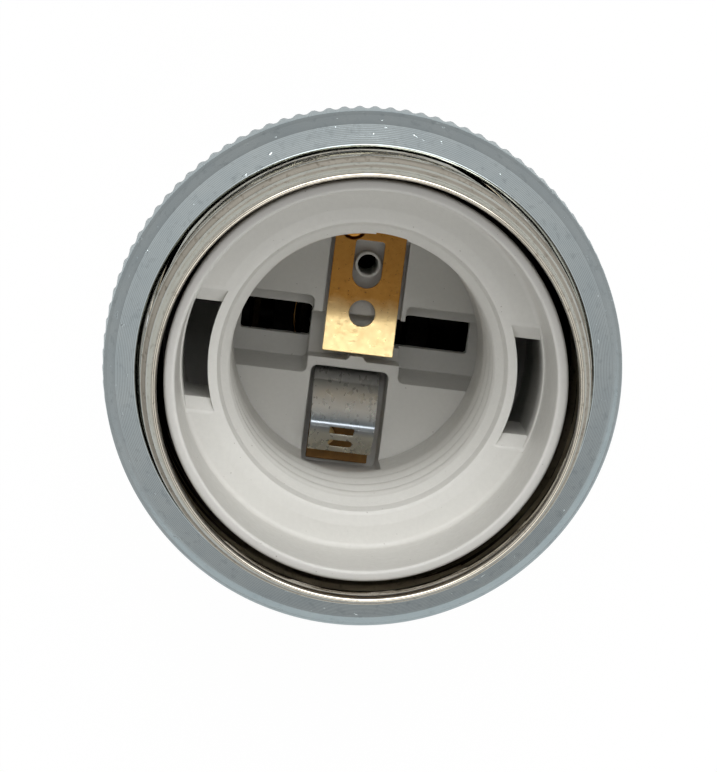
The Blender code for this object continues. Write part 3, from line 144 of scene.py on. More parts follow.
# Centre contact
CONTACT_SHEET = 0.5 * MM
CENTRE_BEND = 2.74 * MM
CENTRE_RISE = 0.65 * MM
CENTRE_SLOT_WIDTH = 2.94 * MM
CENTRE_SLOT_CORNER = 0.35 * MM
CENTRE_SLOT_LOW = 5.42 * MM
CENTRE_SLOT_HIGH = 10.25 * MM
CENTRE_HOLE_RADIUS = 1.33 * MM
CENTRE_HOLE_PLACE = 2.89 * MM
CHANNEL_CENTRE = (CONTACT_LOW.x + CONTACT_HIGH.x) / 2
PLATEAU_Z = CONTACT_HIGH.z - CENTRE_RISE
RIVET_HOLE_RADIUS = 1.05 * MM
RIVET_HEAD_HOLE_RADIUS = 1.35 * MM
CENTRE_RIVET_PLACE = (-1.6 * MM, 11.5 * MM)
SIDE_RIVET_PLACE = (-1.9 * MM, -10.2 * MM)

# Contact carrier
CARRIER_RADIUS = 19.25 * MM
CARRIER_CUP_RADIUS = 17.3 * MM
CARRIER_SKIRT_RADIUS = 17.9 * MM
CARRIER_PLATE = 7.5 * MM
SCREW_PLACE_RADIUS = 15.3 * MM
SCREW_HOLE_RADIUS = 1.2 * MM
TRENCH_REACH = 13.2 * MM
TRENCH_LEFT_END = -4.6 * MM
TRENCH_RIGHT_END = 4.69 * MM
TRENCH_TOP = 4.12 * MM
TRENCH_BOTTOM = -3.73 * MM
TRENCH_SLOPE = 0.87 * MM
TRENCH_FLOOR_DROP = 6.0 * MM
TRENCH_SHELF_DROP = 2.8 * MM
TRENCH_CORNER = 0.6 * MM
SLOT_REACH = 11.75 * MM
SLOT_INNER_REACH = 0.6 * MM
SLOT_TOP = 2.99 * MM
SLOT_BOTTOM = -0.6 * MM
RECESS_TOP = 2.58 * MM
RECESS_BOTTOM = -1.98 * MM
RECESS_DROP = 3.5 * MM
RIB_WIDTH = 1.44 * MM
RIB_END = -1.52 * MM
RIB_FLARE = 0.3 * MM
CHANNEL_SIDE_GAP = 0.4 * MM
CHANNEL_DROP = 1.4 * MM
SEAT_START = 10.2 * MM
SEAT_DROP = 0.8 * MM
CHANNEL_END = 13.5 * MM
BOSS_RADIUS = 1.32 * MM
BOSS_HOLE_RADIUS = 1.02 * MM
BOSS_PLACE = (CENTRE_SLOT_LOW + CENTRE_SLOT_HIGH) / 2
BOSS_DROP = 0.15 * MM
POCKET_LEFT = -4.13 * MM
POCKET_RIGHT = 3.77 * MM
POCKET_TOP = -2.8 * MM
POCKET_BOTTOM = -13.3 * MM
POCKET_DROP = 4.0 * MM
POCKET_CORNER = 0.7 * MM

# Side contact
LEAF_SHEET = 0.35 * MM
LEAF_CENTRE = (LEAF_LOW.x + LEAF_HIGH.x) / 2
LEAF_ROOT_WIDTH = LEAF_HIGH.x - LEAF_LOW.x
LEAF_END_WIDTH = 6.36 * MM
LEAF_ROOT = LEAF_HIGH.y - LEAF_SHEET
LEAF_FOOT = -5.83 * MM
LEAF_BEND_HEIGHT = 1.5 * MM
LEAF_END = -11.16 * MM
LEAF_KNEE = LEAF_END + 1.69 * MM
LEAF_FOLD = LEAF_END + 2.87 * MM
LEAF_KNEE_DROP = 0.75 * MM
LEAF_END_DROP = 2.2 * MM
LEAF_CROWN = 0.22 * MM
# Tint along the leaf from its root to its free end. It is painted: it stands in for the dark and bright bands
# that the photograph shows on the leaf, which this studio doesn't reflect in it
LEAF_SHADES = ((0.0, 0.14), (0.12, 0.32), (0.28, 0.9), (0.42, 1.0), (0.50, (0.74, 0.77, 0.81)),
               (0.58, (0.34, 0.40, 0.48)), (0.66, (0.55, 0.60, 0.68)), (0.76, (1.0, 0.98, 0.9)),
               (1.0, (1.0, 0.95, 0.82)))
LEAF_SLOT_WIDTH = 2.46 * MM
LEAF_SLOT_LENGTH = 0.77 * MM

# Cap and entry bush
CAP_SHEET = 0.6 * MM
CAP_LEDGE_Z = SHELL_END_Z - SEAT_GAP
CAP_LEDGE_INNER_RADIUS = 17.6 * MM
CAP_END_RADIUS = 11.5 * MM
CAP_HOLE_RADIUS = 6.25 * MM
BUSH_COLLAR_RADIUS = BUSH_HIGH.x
BUSH_COLLAR_HEIGHT = 6.0 * MM
BUSH_SHANK_RADIUS = 6.0 * MM
BUSH_BORE_RADIUS = 4.45 * MM
BUSH_CHAMFER = 0.4 * MM
GRUB_HOLE_RADIUS = 1.55 * MM

MOULDING_TINT = (211, 210, 205)

FLOOR_RADIUS = 0.12
FLOOR_GAP = 0.05 * MM
FLOOR_GLOW = 0.97

# Studio: brightness of the room by degrees above the horizon, and two soft boxes as azimuth from +X, elevation,
# half width and brightness
ROOM_LEVELS = ((-35, 0.5), (0, 0.25), (18, 0.55), (38, 0.85), (57, 0.9), (72, 0.3), (90, 0.12))
SOFT_BOXES = ((90, 54, 22, 3.6), (-60, 50, 22, 0.7))
SOFT_BOX_EDGE = 6

# Camera, at the photograph's angle: place, line of sight and the picture's upward direction
IMAGE_WIDTH = 717
FOCAL_LENGTH_PIXELS = 2381
SENSOR_WIDTH_MM = 36.0
CAMERA_PLACE = Vector((-10.71, 26.95, 268.0)) * MM
CAMERA_FORWARD = Vector((0.04806, -0.13070, -0.99026))
CAMERA_UP = Vector((-0.11868, 0.98367, -0.13558))


# Meshes

def tidy_object(name, bm, material, sharp=SHARP_ANGLE):
    """An object from a bmesh, which is freed."""
    mesh = bpy.data.meshes.new(name)
    bmesh.ops.recalc_face_normals(bm, faces=bm.faces)
    bm.to_mesh(mesh)
    bm.free()
    return mesh_object(name, mesh, material, sharp)


def mesh_object(name, mesh, material, sharp=SHARP_ANGLE):
    mesh.shade_smooth()
    mesh.set_sharp_from_angle(angle=sharp)
    item = bpy.data.objects.new(name, mesh)
    bpy.context.scene.collection.objects.link(item)
    if material:
        mesh.materials.append(material)
    return item


def stands_for(item, node, body):
    """The piece rides on a body and replaces a CAD node."""
    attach(item, body)
    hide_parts(node)
    return item


def grid_mesh(name, radius, height, columns):
    """A closed ring of quads. radius and height are rows by columns; the last row meets the first."""
    rows = radius.shape[0]
    angle = 2 * pi * np.arange(columns) / columns
    points = np.stack((radius * np.cos(angle), radius * np.sin(angle), height), axis=-1).reshape(-1, 3)
    row, column = np.meshgrid(np.arange(rows), np.arange(columns), indexing="ij")
    after_row = (row + 1) % rows
    after_column = (column + 1) % columns
    corners = np.stack((row * columns + column, row * columns + after_column,
                        after_row * columns + after_column, after_row * columns + column), axis=-1)
    mesh = bpy.data.meshes.new(name)
    mesh.from_pydata(points.tolist(), [], corners.reshape(-1, 4).tolist())
    return mesh


def rounded_outline(corners, spacing, steps=5):
    """A closed outline of (radius, height, fillet) corners, with arcs for fillets and points at the spacing."""
    count = len(corners)
    outline = []
    for index, (x, y, fillet) in enumerate(corners):
        here = Vector((x, y))
        before = Vector(corners[index - 1][:2]) - here
        after = Vector(corners[(index + 1) % count][:2]) - here
        if fillet <= 0:
            outline.append(here)
            continue
        turn = before.angle(after)
        reach = fillet / np.tan(turn / 2)
        start = here + before.normalized() * reach
        end = here + after.normalized() * reach
        centre = here + (before.normalized() + after.normalized()).normalized() * fillet / sin(turn / 2)
        sweep = (start - centre).angle_signed(end - centre)
        for step in range(steps + 1):
            arm = (start - centre).copy()
            arm.rotate(Matrix.Rotation(-sweep * step / steps, 2))
            outline.append(centre + arm)
    dense = []
    for index, point in enumerate(outline):
        following = outline[(index + 1) % len(outline)]
        parts = max(1, int((following - point).length / spacing))
        dense.extend(tuple(point.lerp(following, part / parts)) for part in range(parts))
    return np.array(dense)


def turned(name, corners, columns, material):
    outline = rounded_outline(corners, 1.5 * MM)
    radius = np.repeat(outline[:, :1], columns, axis=1)
    height = np.repeat(outline[:, 1:], columns, axis=1)
    return mesh_object(name, grid_mesh(name, radius, height, columns), material)


def prism(outline, low, high, axis='Z'):
    """A straight prism. Its outline is in the two axes that follow the given one, in X, Y, Z order."""
    bm = bmesh.new()
    place_point = {
        'X': lambda first, second, along: (along, first, second),
        'Z': lambda first, second, along: (first, second, along),
    }[axis]
    base = [bm.verts.new(place_point(first, second, low)) for first, second in outline]
    face = bm.faces.new(base)
    extruded = bmesh.ops.extrude_face_region(bm, geom=[face])
    moved = [item for item in extruded["geom"] if isinstance(item, bmesh.types.BMVert)]
    bmesh.ops.translate(bm, verts=moved, vec=Vector(place_point(0, 0, high - low)))
    return bm


def loft(levels):
    """A solid through closed outlines with as many points each, given as (outline, height)."""
    bm = bmesh.new()
    rings = []
    for outline, height in levels:
        rings.append([bm.verts.new((x, y, height)) for x, y in outline])
    for lower, upper in zip(rings, rings[1:]):
        for index, point in enumerate(lower):
            after = (index + 1) % len(lower)
            bm.faces.new((point, lower[after], upper[after], upper[index]))
    bm.faces.new(rings[0][::-1])
    bm.faces.new(rings[-1])
    return bm


def circle(centre, radius, steps=32):
    return [(centre[0] + radius * cos(2 * pi * step / steps), centre[1] + radius * sin(2 * pi * step / steps))
            for step in range(steps)]


def punched_slot(x, low, high, radius, corner):
    """A slot along Y, round at its low end and square with small corners at its high end."""
    outline = []
    for side, first in ((1, 0), (-1, pi / 2)):
        for step in range(7):
            angle = first + pi / 12 * step
            corner_x = x + side * (radius - corner)
            outline.append((corner_x + corner * cos(angle), high - corner + corner * sin(angle)))
    for step in range(17):
        angle = pi + pi * step / 16
        outline.append((x + radius * cos(angle), low + radius + radius * sin(angle)))
    return outline


def rectangle(left, right, bottom, top):
    return [(left, bottom), (right, bottom), (right, top), (left, top)]


def rounded_rectangle(left, right, bottom, top, radius, steps=6):
    outline = []
    corners = [(right - radius, top - radius), (left + radius, top - radius),
               (left + radius, bottom + radius), (right - radius, bottom + radius)]
    for quarter, (x, y) in enumerate(corners):
        for step in range(steps + 1):
            angle = pi / 2 * (quarter + step / steps)
            outline.append((x + radius * cos(angle), y + radius * sin(angle)))
    return outline


def carve(body, tools, solver='EXACT'):
    """Apply (bmesh, operation) shapes to a body and leave a plain mesh."""
    guides = []
    for bm, operation in tools:
        guide = tidy_object("guide", bm, None)
        change = body.modifiers.new("carve", 'BOOLEAN')
        change.operation = operation
        change.solver = solver
        change.object = guide
        guides.append(guide)
    bpy.context.view_layer.update()
    evaluated = body.evaluated_get(bpy.context.evaluated_depsgraph_get())
    mesh = bpy.data.meshes.new_from_object(evaluated)
    body.modifiers.clear()
    body.data = mesh
    mesh.set_sharp_from_angle(angle=SHARP_ANGLE)
    for guide in guides:
        bpy.data.objects.remove(guide, do_unlink=True)


def soften(item, width, weld=False):
    """Rounds the item's sharp edges by a modifier."""
    if weld:
        merge = item.modifiers.new("weld", 'WELD')
        merge.merge_threshold = 0.001 * MM
    edge = item.modifiers.new("soft_edges", 'BEVEL')
    edge.width = width
    edge.segments = 2
    edge.limit_method = 'ANGLE'
    edge.angle_limit = SHARP_ANGLE
    edge.use_clamp_overlap = False
    edge.harden_normals = False
    smooth = item.modifiers.new("even_shading", 'WEIGHTED_NORMAL')
    smooth.keep_sharp = False


# Materials

class Nodes:
    """A node tree of a material or the world, built by short calls."""

    def __init__(self, tree):
        self.tree = tree

    def node(self, kind, **settings):
        item = self.tree.nodes.new(kind)
        for key, value in settings.items():
            setattr(item, key, value)
        return item

    def link(self, source, target):
        self.tree.links.new(source, target)

    def put(self, value, target):
        if isinstance(value, bpy.types.NodeSocket):
            self.link(value, target)
        else:
            target.default_value = value

    def math(self, operation, first, second=0.0):
        item = self.node('ShaderNodeMath', operation=operation)
        for value, target in zip((first, second), item.inputs):
            self.put(value, target)
        return item.outputs[0]

    def ramp(self, factor, stops):
        """Colours or greys along a factor: (position, value) pairs."""
        item = self.node('ShaderNodeValToRGB')
        elements = item.color_ramp.elements
        while len(elements) < len(stops):
            elements.new(0.5)
        for element, (position, value) in zip(elements, stops):
            element.position = position
            colour = value if isinstance(value, tuple) else (value, value, value)
            element.color = (*colour, 1.0)
        self.link(factor, item.inputs[0])
        return item.outputs[0]

    def mix(self, factor, first, second, blend='MIX'):
        item = self.node('ShaderNodeMix', data_type='RGBA', blend_type=blend)
        self.put(factor, item.inputs[0])
        for value, target in ((first, item.inputs[6]), (second, item.inputs[7])):
            self.put((*value, 1.0) if isinstance(value, tuple) else value, target)
        return item.outputs[2]

    def level(self, factor, low, high, low_value=0.0, high_value=1.0):
        item = self.node('ShaderNodeMapRange')
        for value, target in zip((factor, low, high, low_value, high_value), item.inputs):
            self.put(value, target)
        return item.outputs[0]


class Finish(Nodes):
    """One procedural material. Lengths inside it are in millimetres."""

    def __init__(self, name, roughness, metallic):
        self.material = bpy.data.materials.new(name)
        self.material.use_nodes = True
        super().__init__(self.material.node_tree)
        self.shader = self.tree.nodes["Principled BSDF"]
        self.shader.inputs["Roughness"].default_value = roughness
        self.shader.inputs["Metallic"].default_value = metallic
        place = self.node('ShaderNodeTexCoord').outputs["Object"]
        scaled = self.node('ShaderNodeVectorMath', operation='SCALE')
        self.link(place, scaled.inputs[0])
        scaled.inputs["Scale"].default_value = 1 / MM
        self.place = scaled.outputs[0]
        split = self.node('ShaderNodeSeparateXYZ')
        self.link(self.place, split.inputs[0])
        self.x, self.y, self.z = split.outputs
        self.radius = self.math('SQRT', self.math('ADD', self.math('MULTIPLY', self.x, self.x),
                                                  self.math('MULTIPLY', self.y, self.y)))
        self.angle = self.math('ARCTAN2', self.y, self.x)

    def vector(self, x, y, z):
        item = self.node('ShaderNodeCombineXYZ')
        for value, target in zip((x, y, z), item.inputs):
            self.put(value, target)
        return item.outputs[0]

    def noise(self, scale, detail, place=None):
        item = self.node('ShaderNodeTexNoise')
        self.link(place or self.place, item.inputs["Vector"])
        item.inputs["Scale"].default_value = scale
        item.inputs["Detail"].default_value = detail
        item.inputs["Roughness"].default_value = 0.55
        return item.outputs["Fac"]

    def gloss(self, noise, low, high):
        """Roughness between two values, as a noise goes."""
        return self.level(noise, 0.3, 0.7, low, high)

    def bump(self, height, distance, strength, normal=None):
        item = self.node('ShaderNodeBump')
        self.link(height, item.inputs["Height"])
        item.inputs["Distance"].default_value = distance
        item.inputs["Strength"].default_value = strength
        if normal:
            self.link(normal, item.inputs["Normal"])
        return item.outputs[0]

    def around(self, turns, across):
        """Coordinates that run round the axis without a seam and change quickly across it."""
        return self.vector(self.math('MULTIPLY', self.math('COSINE', self.angle), turns),
                           self.math('MULTIPLY', self.math('SINE', self.angle), turns),
                           self.math('MULTIPLY', self.math('ADD', self.radius, self.z), across))

    def rounded_edges(self, radius):
        corner = self.node('ShaderNodeBevel', samples=6)
        corner.inputs["Radius"].default_value = radius
        return corner.outputs[0]

    def wear(self, scale, low, high, stretch):
        """Thin marks where a stretched noise passes a level."""
        scaled = self.node('ShaderNodeVectorMath', operation='MULTIPLY')
        self.link(self.place, scaled.inputs[0])
        scaled.inputs[1].default_value = stretch
        return self.level(self.noise(scale, 2.0, scaled.outputs[0]), low, high)

    def finish(self, colour=None, roughness=None, normal=None):
        for value, target in ((colour, "Base Color"), (roughness, "Roughness"), (normal, "Normal")):
            if value is not None:
                self.link(value, self.shader.inputs[target])
        return self.material


def srgb(red, green, blue):
    """A colour as the eye reads it, 0 to 255, as linear light."""
    return tuple((value / 255 / 12.92 if value <= 10 else ((value / 255 + 0.055) / 1.055) ** 2.4)
                 for value in (red, green, blue))


def moulding_finish(name="grey_moulding", edge=0.0):
    look = Finish(name, 0.42, 0.0)
    clouds = look.noise(0.16, 3.0)
    tint = look.mix(clouds, srgb(*MOULDING_TINT), srgb(*(level + 8 for level in MOULDING_TINT)))
    grain = look.noise(2.2, 4.0)
    tint = look.mix(look.level(grain, 0.3, 0.7, 0.0, 0.35), tint, srgb(*(level - 6 for level in MOULDING_TINT)))
    specks = look.level(look.noise(3.1, 1.0), 0.76, 0.80)
    tint = look.mix(look.math('MULTIPLY', specks, 0.55), tint, srgb(120, 112, 100))
    rough = look.gloss(look.noise(1.1, 3.0), 0.34, 0.50)
    flow = look.noise(0.9, 3.0)
    rounded = look.rounded_edges(edge) if edge else None
    skin = look.bump(flow, 0.06 * MM, 0.5, rounded)
    pits = look.bump(look.noise(7.0, 3.0), 0.012 * MM, 0.6, skin)
    look.shader.inputs["Specular IOR Level"].default_value = 0.45
    return look.finish(tint, rough, pits)


def nickel_finish(name, inside):
    """Bright plate, with a darker colour painted on the faces that look inwards as shade."""
    look = Finish(name, 0.18, 1.0)
    clouds = look.noise(0.5, 4.0)
    tint = look.mix(clouds, srgb(232, 226, 212), srgb(206, 198, 182))
    stains = look.level(look.noise(1.7, 5.0), 0.56, 0.7)
    tint = look.mix(look.math('MULTIPLY', stains, 0.5), tint, srgb(150, 138, 118))
    streaks = look.noise(1.6, 3.0, look.around(4.0, 1.0))
    rough = look.gloss(streaks, 0.08, 0.18)
    marks = look.bump(look.noise(2.4, 3.0), 0.012 * MM, 0.3)
    lines = look.bump(streaks, 0.012 * MM, 0.2, marks)
    across = look.node('ShaderNodeVectorMath', operation='DOT_PRODUCT')
    look.link(look.node('ShaderNodeNewGeometry').outputs["Normal"], across.inputs[0])
    look.link(look.vector(look.x, look.y, look.math('SUBTRACT', look.z, SHELL_END_Z / MM)), across.inputs[1])
    # Painted shade: the inner colour darkens the faces that look inwards.
    tint = look.mix(look.level(across.outputs["Value"], -0.2, 0.2, 1.0, 0.0), tint, inside)
    return look.finish(tint, rough, lines)


def ring_finish():
    """Blue zinc on turned steel, with turning marks and a few nicks."""
    look = Finish("blue_zinc_plate", 0.25, 1.0)
    clouds = look.noise(0.35, 4.0)
    tint = look.mix(clouds, srgb(192, 204, 208), srgb(212, 220, 220))
    stains = look.level(look.noise(1.2, 5.0), 0.55, 0.75)
    tint = look.mix(look.math('MULTIPLY', stains, 0.4), tint, srgb(160, 170, 172))
    turning = look.noise(2.0, 3.0, look.around(3.0, 4.0))
    rough = look.gloss(turning, 0.07, 0.15)
    marks = look.bump(turning, 0.008 * MM, 0.30)
    nicks = look.bump(look.wear(0.9, 0.70, 0.74, (1.0, 1.0, 2.0)), 0.05 * MM, 0.7, marks)
    return look.finish(tint, rough, nicks)


def metal_finish(name, colours, clouds, gloss, marks):
    """Metal of two mixed colours. clouds are (scale, detail), gloss is (scale, low, high) and marks are (scale,
    detail, depth, strength)."""
    look = Finish(name, gloss[1], 1.0)
    tint = look.mix(look.noise(*clouds), *colours)
    rough = look.gloss(look.noise(gloss[0], 4.0), *gloss[1:])
    return look.finish(tint, rough, look.bump(look.noise(*marks[:2]), *marks[2:]))


def dark_finish(name, *colours):
    """Painted shade: dark metal for the small parts inside the cap, so that the depth behind the slots stays
    dark.
    """
    return metal_finish(name, colours, (0.9, 4.0), (2.2, 0.45, 0.65), (3.5, 3.0, 0.03 * MM, 0.5))


def brass_finish(name="brass", edge=0.0):
    """Brass, browner at its fixed end and paler at its free end, as the photograph shows the strip."""
    look = Finish(name, 0.28, 1.0)
    clouds = look.noise(0.6, 4.0)
    # The pale free end is partly a painted highlight, the brown fixed end partly painted shade and partly
    # tarnish.
    pale_with_highlight = look.mix(clouds, srgb(255, 220, 154), srgb(255, 232, 178))
    brown = look.mix(look.noise(1.6, 5.0), srgb(176, 120, 54), srgb(202, 148, 74))
    towards_end = look.math('ADD', look.y, look.math('MULTIPLY', look.math('SUBTRACT', clouds, 0.5), 2.0))
    tint = look.mix(look.level(towards_end, 2.0, 4.5), pale_with_highlight, brown)
    blots = look.math('MULTIPLY', look.level(look.noise(2.6, 4.0), 0.60, 0.74),
                      look.level(look.y, 1.0, 5.0, 0.15, 0.5))
    tint = look.mix(blots, tint, srgb(120, 82, 40))
    rough = look.gloss(look.noise(1.9, 4.0), 0.26, 0.40)
    corner = look.rounded_edges(edge) if edge else None
    scratches = look.bump(look.wear(1.4, 0.62, 0.68, (0.7, 3.0, 1.0)), 0.012 * MM, 0.4, corner)
    rolled = look.bump(look.noise(2.2, 3.0), 0.012 * MM, 0.4, scratches)
    return look.finish(tint, rough, rolled)


def spring_finish():
    """Plated spring strip, half metal and half satin, with the painted bands of LEAF_SHADES."""
    look = Finish("spring_plate", 0.2, 0.65)
    tint = look.mix(look.noise(0.8, 2.0), srgb(253, 251, 245), srgb(247, 245, 239))
    along = look.level(look.y, LEAF_ROOT / MM, LEAF_END / MM)
    tint = look.mix(1.0, tint, look.ramp(along, LEAF_SHADES), 'MULTIPLY')
    drawn = look.vector(look.math('MULTIPLY', look.x, 1.5), look.math('MULTIPLY', look.y, 0.8), look.z)
    streaks = look.noise(1.0, 2.0, drawn)
    rough = look.gloss(streaks, 0.26, 0.30)
    marks = look.bump(streaks, 0.004 * MM, 0.1)
    return look.finish(tint, rough, marks)


def bush_finish():
    """Turned brass, with painted shade where the cap covers it, so that the depth behind the slots stays dark.
    """
    look = Finish("bush_brass", 0.3, 1.0)
    tint = look.mix(look.noise(0.8, 4.0), srgb(220, 184, 120), srgb(200, 160, 92))
    # Painted shade on the part of the bush inside the cap.
    tint = look.mix(look.level(look.z, CAP_END_Z / MM, CAP_END_Z / MM + 1.0), tint, srgb(30, 26, 20))
    rough = look.gloss(look.noise(2.0, 4.0), 0.24, 0.38)
    marks = look.bump(look.noise(1.6, 3.0, look.around(3.0, 4.0)), 0.02 * MM, 0.3)
    return look.finish(tint, rough, marks)


# Pieces

def smooth_step(share):
    share = np.clip(share, 0.0, 1.0)
    return share * share * (3 - 2 * share)


def thread_wave(height, angle, crest_z, crest_angle, pitch):
    """1 along the crest and 0 along the root of a right-handed thread."""
    turns = (height - crest_z) / pitch - (angle - crest_angle) / (2 * pi)
    return 0.5 + 0.5 * np.cos(2 * pi * turns)


def shell_skin_radius(height, angle):
    """Outside of the rolled thread, drawn in to the rim, with the groove that leaves a bead there."""
    root = SHELL_CREST_RADIUS - SHELL_THREAD_HEIGHT
    below_rim = RIM_Z - height
    draw_in = 1 - np.clip(below_rim / SHELL_TAPER_LENGTH, 0.0, 1.0)
    wave = thread_wave(height, angle, RIM_Z - SHELL_CREST_DROP, SHELL_CREST_ANGLE, SHELL_THREAD_PITCH)
    wave = np.clip(0.5 + 1.3 * (wave - 0.5), 0.0, 1.0)
    depth = SHELL_THREAD_HEIGHT * smooth_step(below_rim / SHELL_TAPER_LENGTH)
    depth = depth * smooth_step((height - RIM_Z + SHELL_THREAD_LENGTH) / SHELL_THREAD_PITCH)
    radius = root - (root - SHELL_RIM_RADIUS) * draw_in ** 2 + depth * wave
    return radius - RIM_GROOVE_DEPTH * np.exp(-((below_rim - RIM_GROOVE_DROP) / RIM_GROOVE_WIDTH) ** 2)


def outer_shell(material):
    angle = 2 * pi * np.arange(SHELL_COLUMNS) / SHELL_COLUMNS
    half = SHELL_SHEET / 2
    low = RIM_Z - SHELL_THREAD_LENGTH
    step_z = low - SHELL_STEP_LENGTH
    rows = []
    for z in np.linspace(low, RIM_Z - half, SHELL_THREAD_ROWS):
        rows.append((shell_skin_radius(np.full_like(angle, z), angle), z))
    rim = shell_skin_radius(np.full_like(angle, RIM_Z - half), angle) - half
    for turn in np.linspace(0, pi, 8)[1:-1]:
        rows.append((rim + half * cos(turn), RIM_Z - half + half * sin(turn)))
    inside = np.concatenate((np.linspace(RIM_Z - half, RIM_Z - 7 * MM, 48),
                             np.linspace(RIM_Z - 7.6 * MM, low, 26)))
    for z in inside:
        rows.append((shell_skin_radius(np.full_like(angle, z), angle) - SHELL_SHEET, z))
    plain = SHELL_PLAIN_RADIUS
    edge = 0.08 * MM
    for radius, z in (
        (plain - SHELL_SHEET, step_z), (plain - SHELL_SHEET, SHELL_END_Z + edge),
        (plain - SHELL_SHEET + edge, SHELL_END_Z), (plain - edge, SHELL_END_Z), (plain, SHELL_END_Z + edge),
        (plain, step_z), (plain - 0.05 * MM, step_z + 0.2 * MM), (plain - 0.2 * MM, step_z + 0.4 * MM),
    ):
        rows.append((np.full_like(angle, radius), z))
    radius = np.array([row[0] for row in rows])
    height = np.array([np.full_like(angle, row[1]) for row in rows])
    shell = mesh_object("rolled_shell", grid_mesh("rolled_shell", radius, height, SHELL_COLUMNS), material)
    return stands_for(shell, "outer_shell", "socket")


def shade_ring(material):
    face_z = RING_TOP_Z - RING_FACE_DROP
    shoulder_z = face_z - RING_SHOULDER_DROP
    knurl_top = shoulder_z - RING_KNURL_START
    knurl_bottom = RING_BOTTOM_Z + RING_KNURL_END
    front = (RING_SHOULDER_RADIUS + RING_RADIUS) / 2
    corners = [
        (RING_MOUTH_RADIUS, RING_BOTTOM_Z, 0.08 * MM),
        (RING_FOOT_RADIUS, RING_BOTTOM_Z, 0.12 * MM),
        (RING_RADIUS, knurl_bottom, 0.15 * MM),
        (front, knurl_top, 0.25 * MM),
        (RING_SHOULDER_RADIUS, shoulder_z, 0.2 * MM),
        (RING_FACE_RADIUS, face_z, 0.1 * MM),
        (RING_MOUTH_RADIUS, RING_TOP_Z, 0.07 * MM),
        (RING_BORE_RADIUS, RING_TOP_Z - RING_MOUTH_CHAMFER, 0.1 * MM),
        (RING_BORE_RADIUS, RING_BOTTOM_Z + RING_MOUTH_CHAMFER, 0.1 * MM),
    ]
    outline = rounded_outline(corners, 0.6 * MM, 3)
    face_length = hypot(RING_FACE_RADIUS - RING_MOUTH_RADIUS, RING_FACE_DROP)
    lathe_rows = 4 * LATHE_GROOVES
    dense = []
    for index, point in enumerate(outline):
        dense.append(tuple(point))
        after = outline[(index + 1) % len(outline)]
        on_face = (RING_FACE_RADIUS > point[0] > RING_MOUTH_RADIUS and point[1] > face_z
                   and after[1] > point[1])
        length = hypot(*(after - point))
        parts = int(lathe_rows * length / face_length) if on_face and length > 0.2 * MM else 1
        for part in range(1, parts):
            dense.append(tuple(point + (after - point) * part / parts))
    outline = np.array(dense)
    radius = np.repeat(outline[:, :1], RING_COLUMNS, axis=1)
    height = np.repeat(outline[:, 1:], RING_COLUMNS, axis=1)
    share = np.clip((radius - RING_MOUTH_RADIUS) / (RING_FACE_RADIUS - RING_MOUTH_RADIUS), 0, 1)
    on_face = (height > face_z) & (share > 0.04) & (share < 0.97)
    wave = 0.5 - 0.5 * np.cos(2 * pi * LATHE_GROOVES * share)
    height = height - np.where(on_face, LATHE_DEPTH * wave, 0)
    angle = 2 * pi * np.arange(RING_COLUMNS) / RING_COLUMNS
    tooth = np.abs(((angle * KNURL_TEETH / (2 * pi)) % 1.0) - 0.5) * 2
    groove = KNURL_DEPTH * smooth_step(1.25 * tooth - 0.1)
    outside = height < face_z
    radius = np.where(outside, np.minimum(radius, RING_RADIUS - groove), radius)
    name = "turned_shade_ring"
    ring = mesh_object(name, grid_mesh(name, radius, height, RING_COLUMNS), material)
    return stands_for(ring, "shade_ring", "ring")


def window_outline(side, grow, reach):
    outline = []
    for radius, order in ((WINDOW_OUTER_RADIUS + grow, 1), (WINDOW_INNER_RADIUS - grow, -1)):
        half = asin(reach / radius)
        for step in range(17):
            angle = order * half * (step / 8 - 1)
            outline.append((side * radius * cos(angle), radius * sin(angle)))
    return outline if side > 0 else outline[::-1]


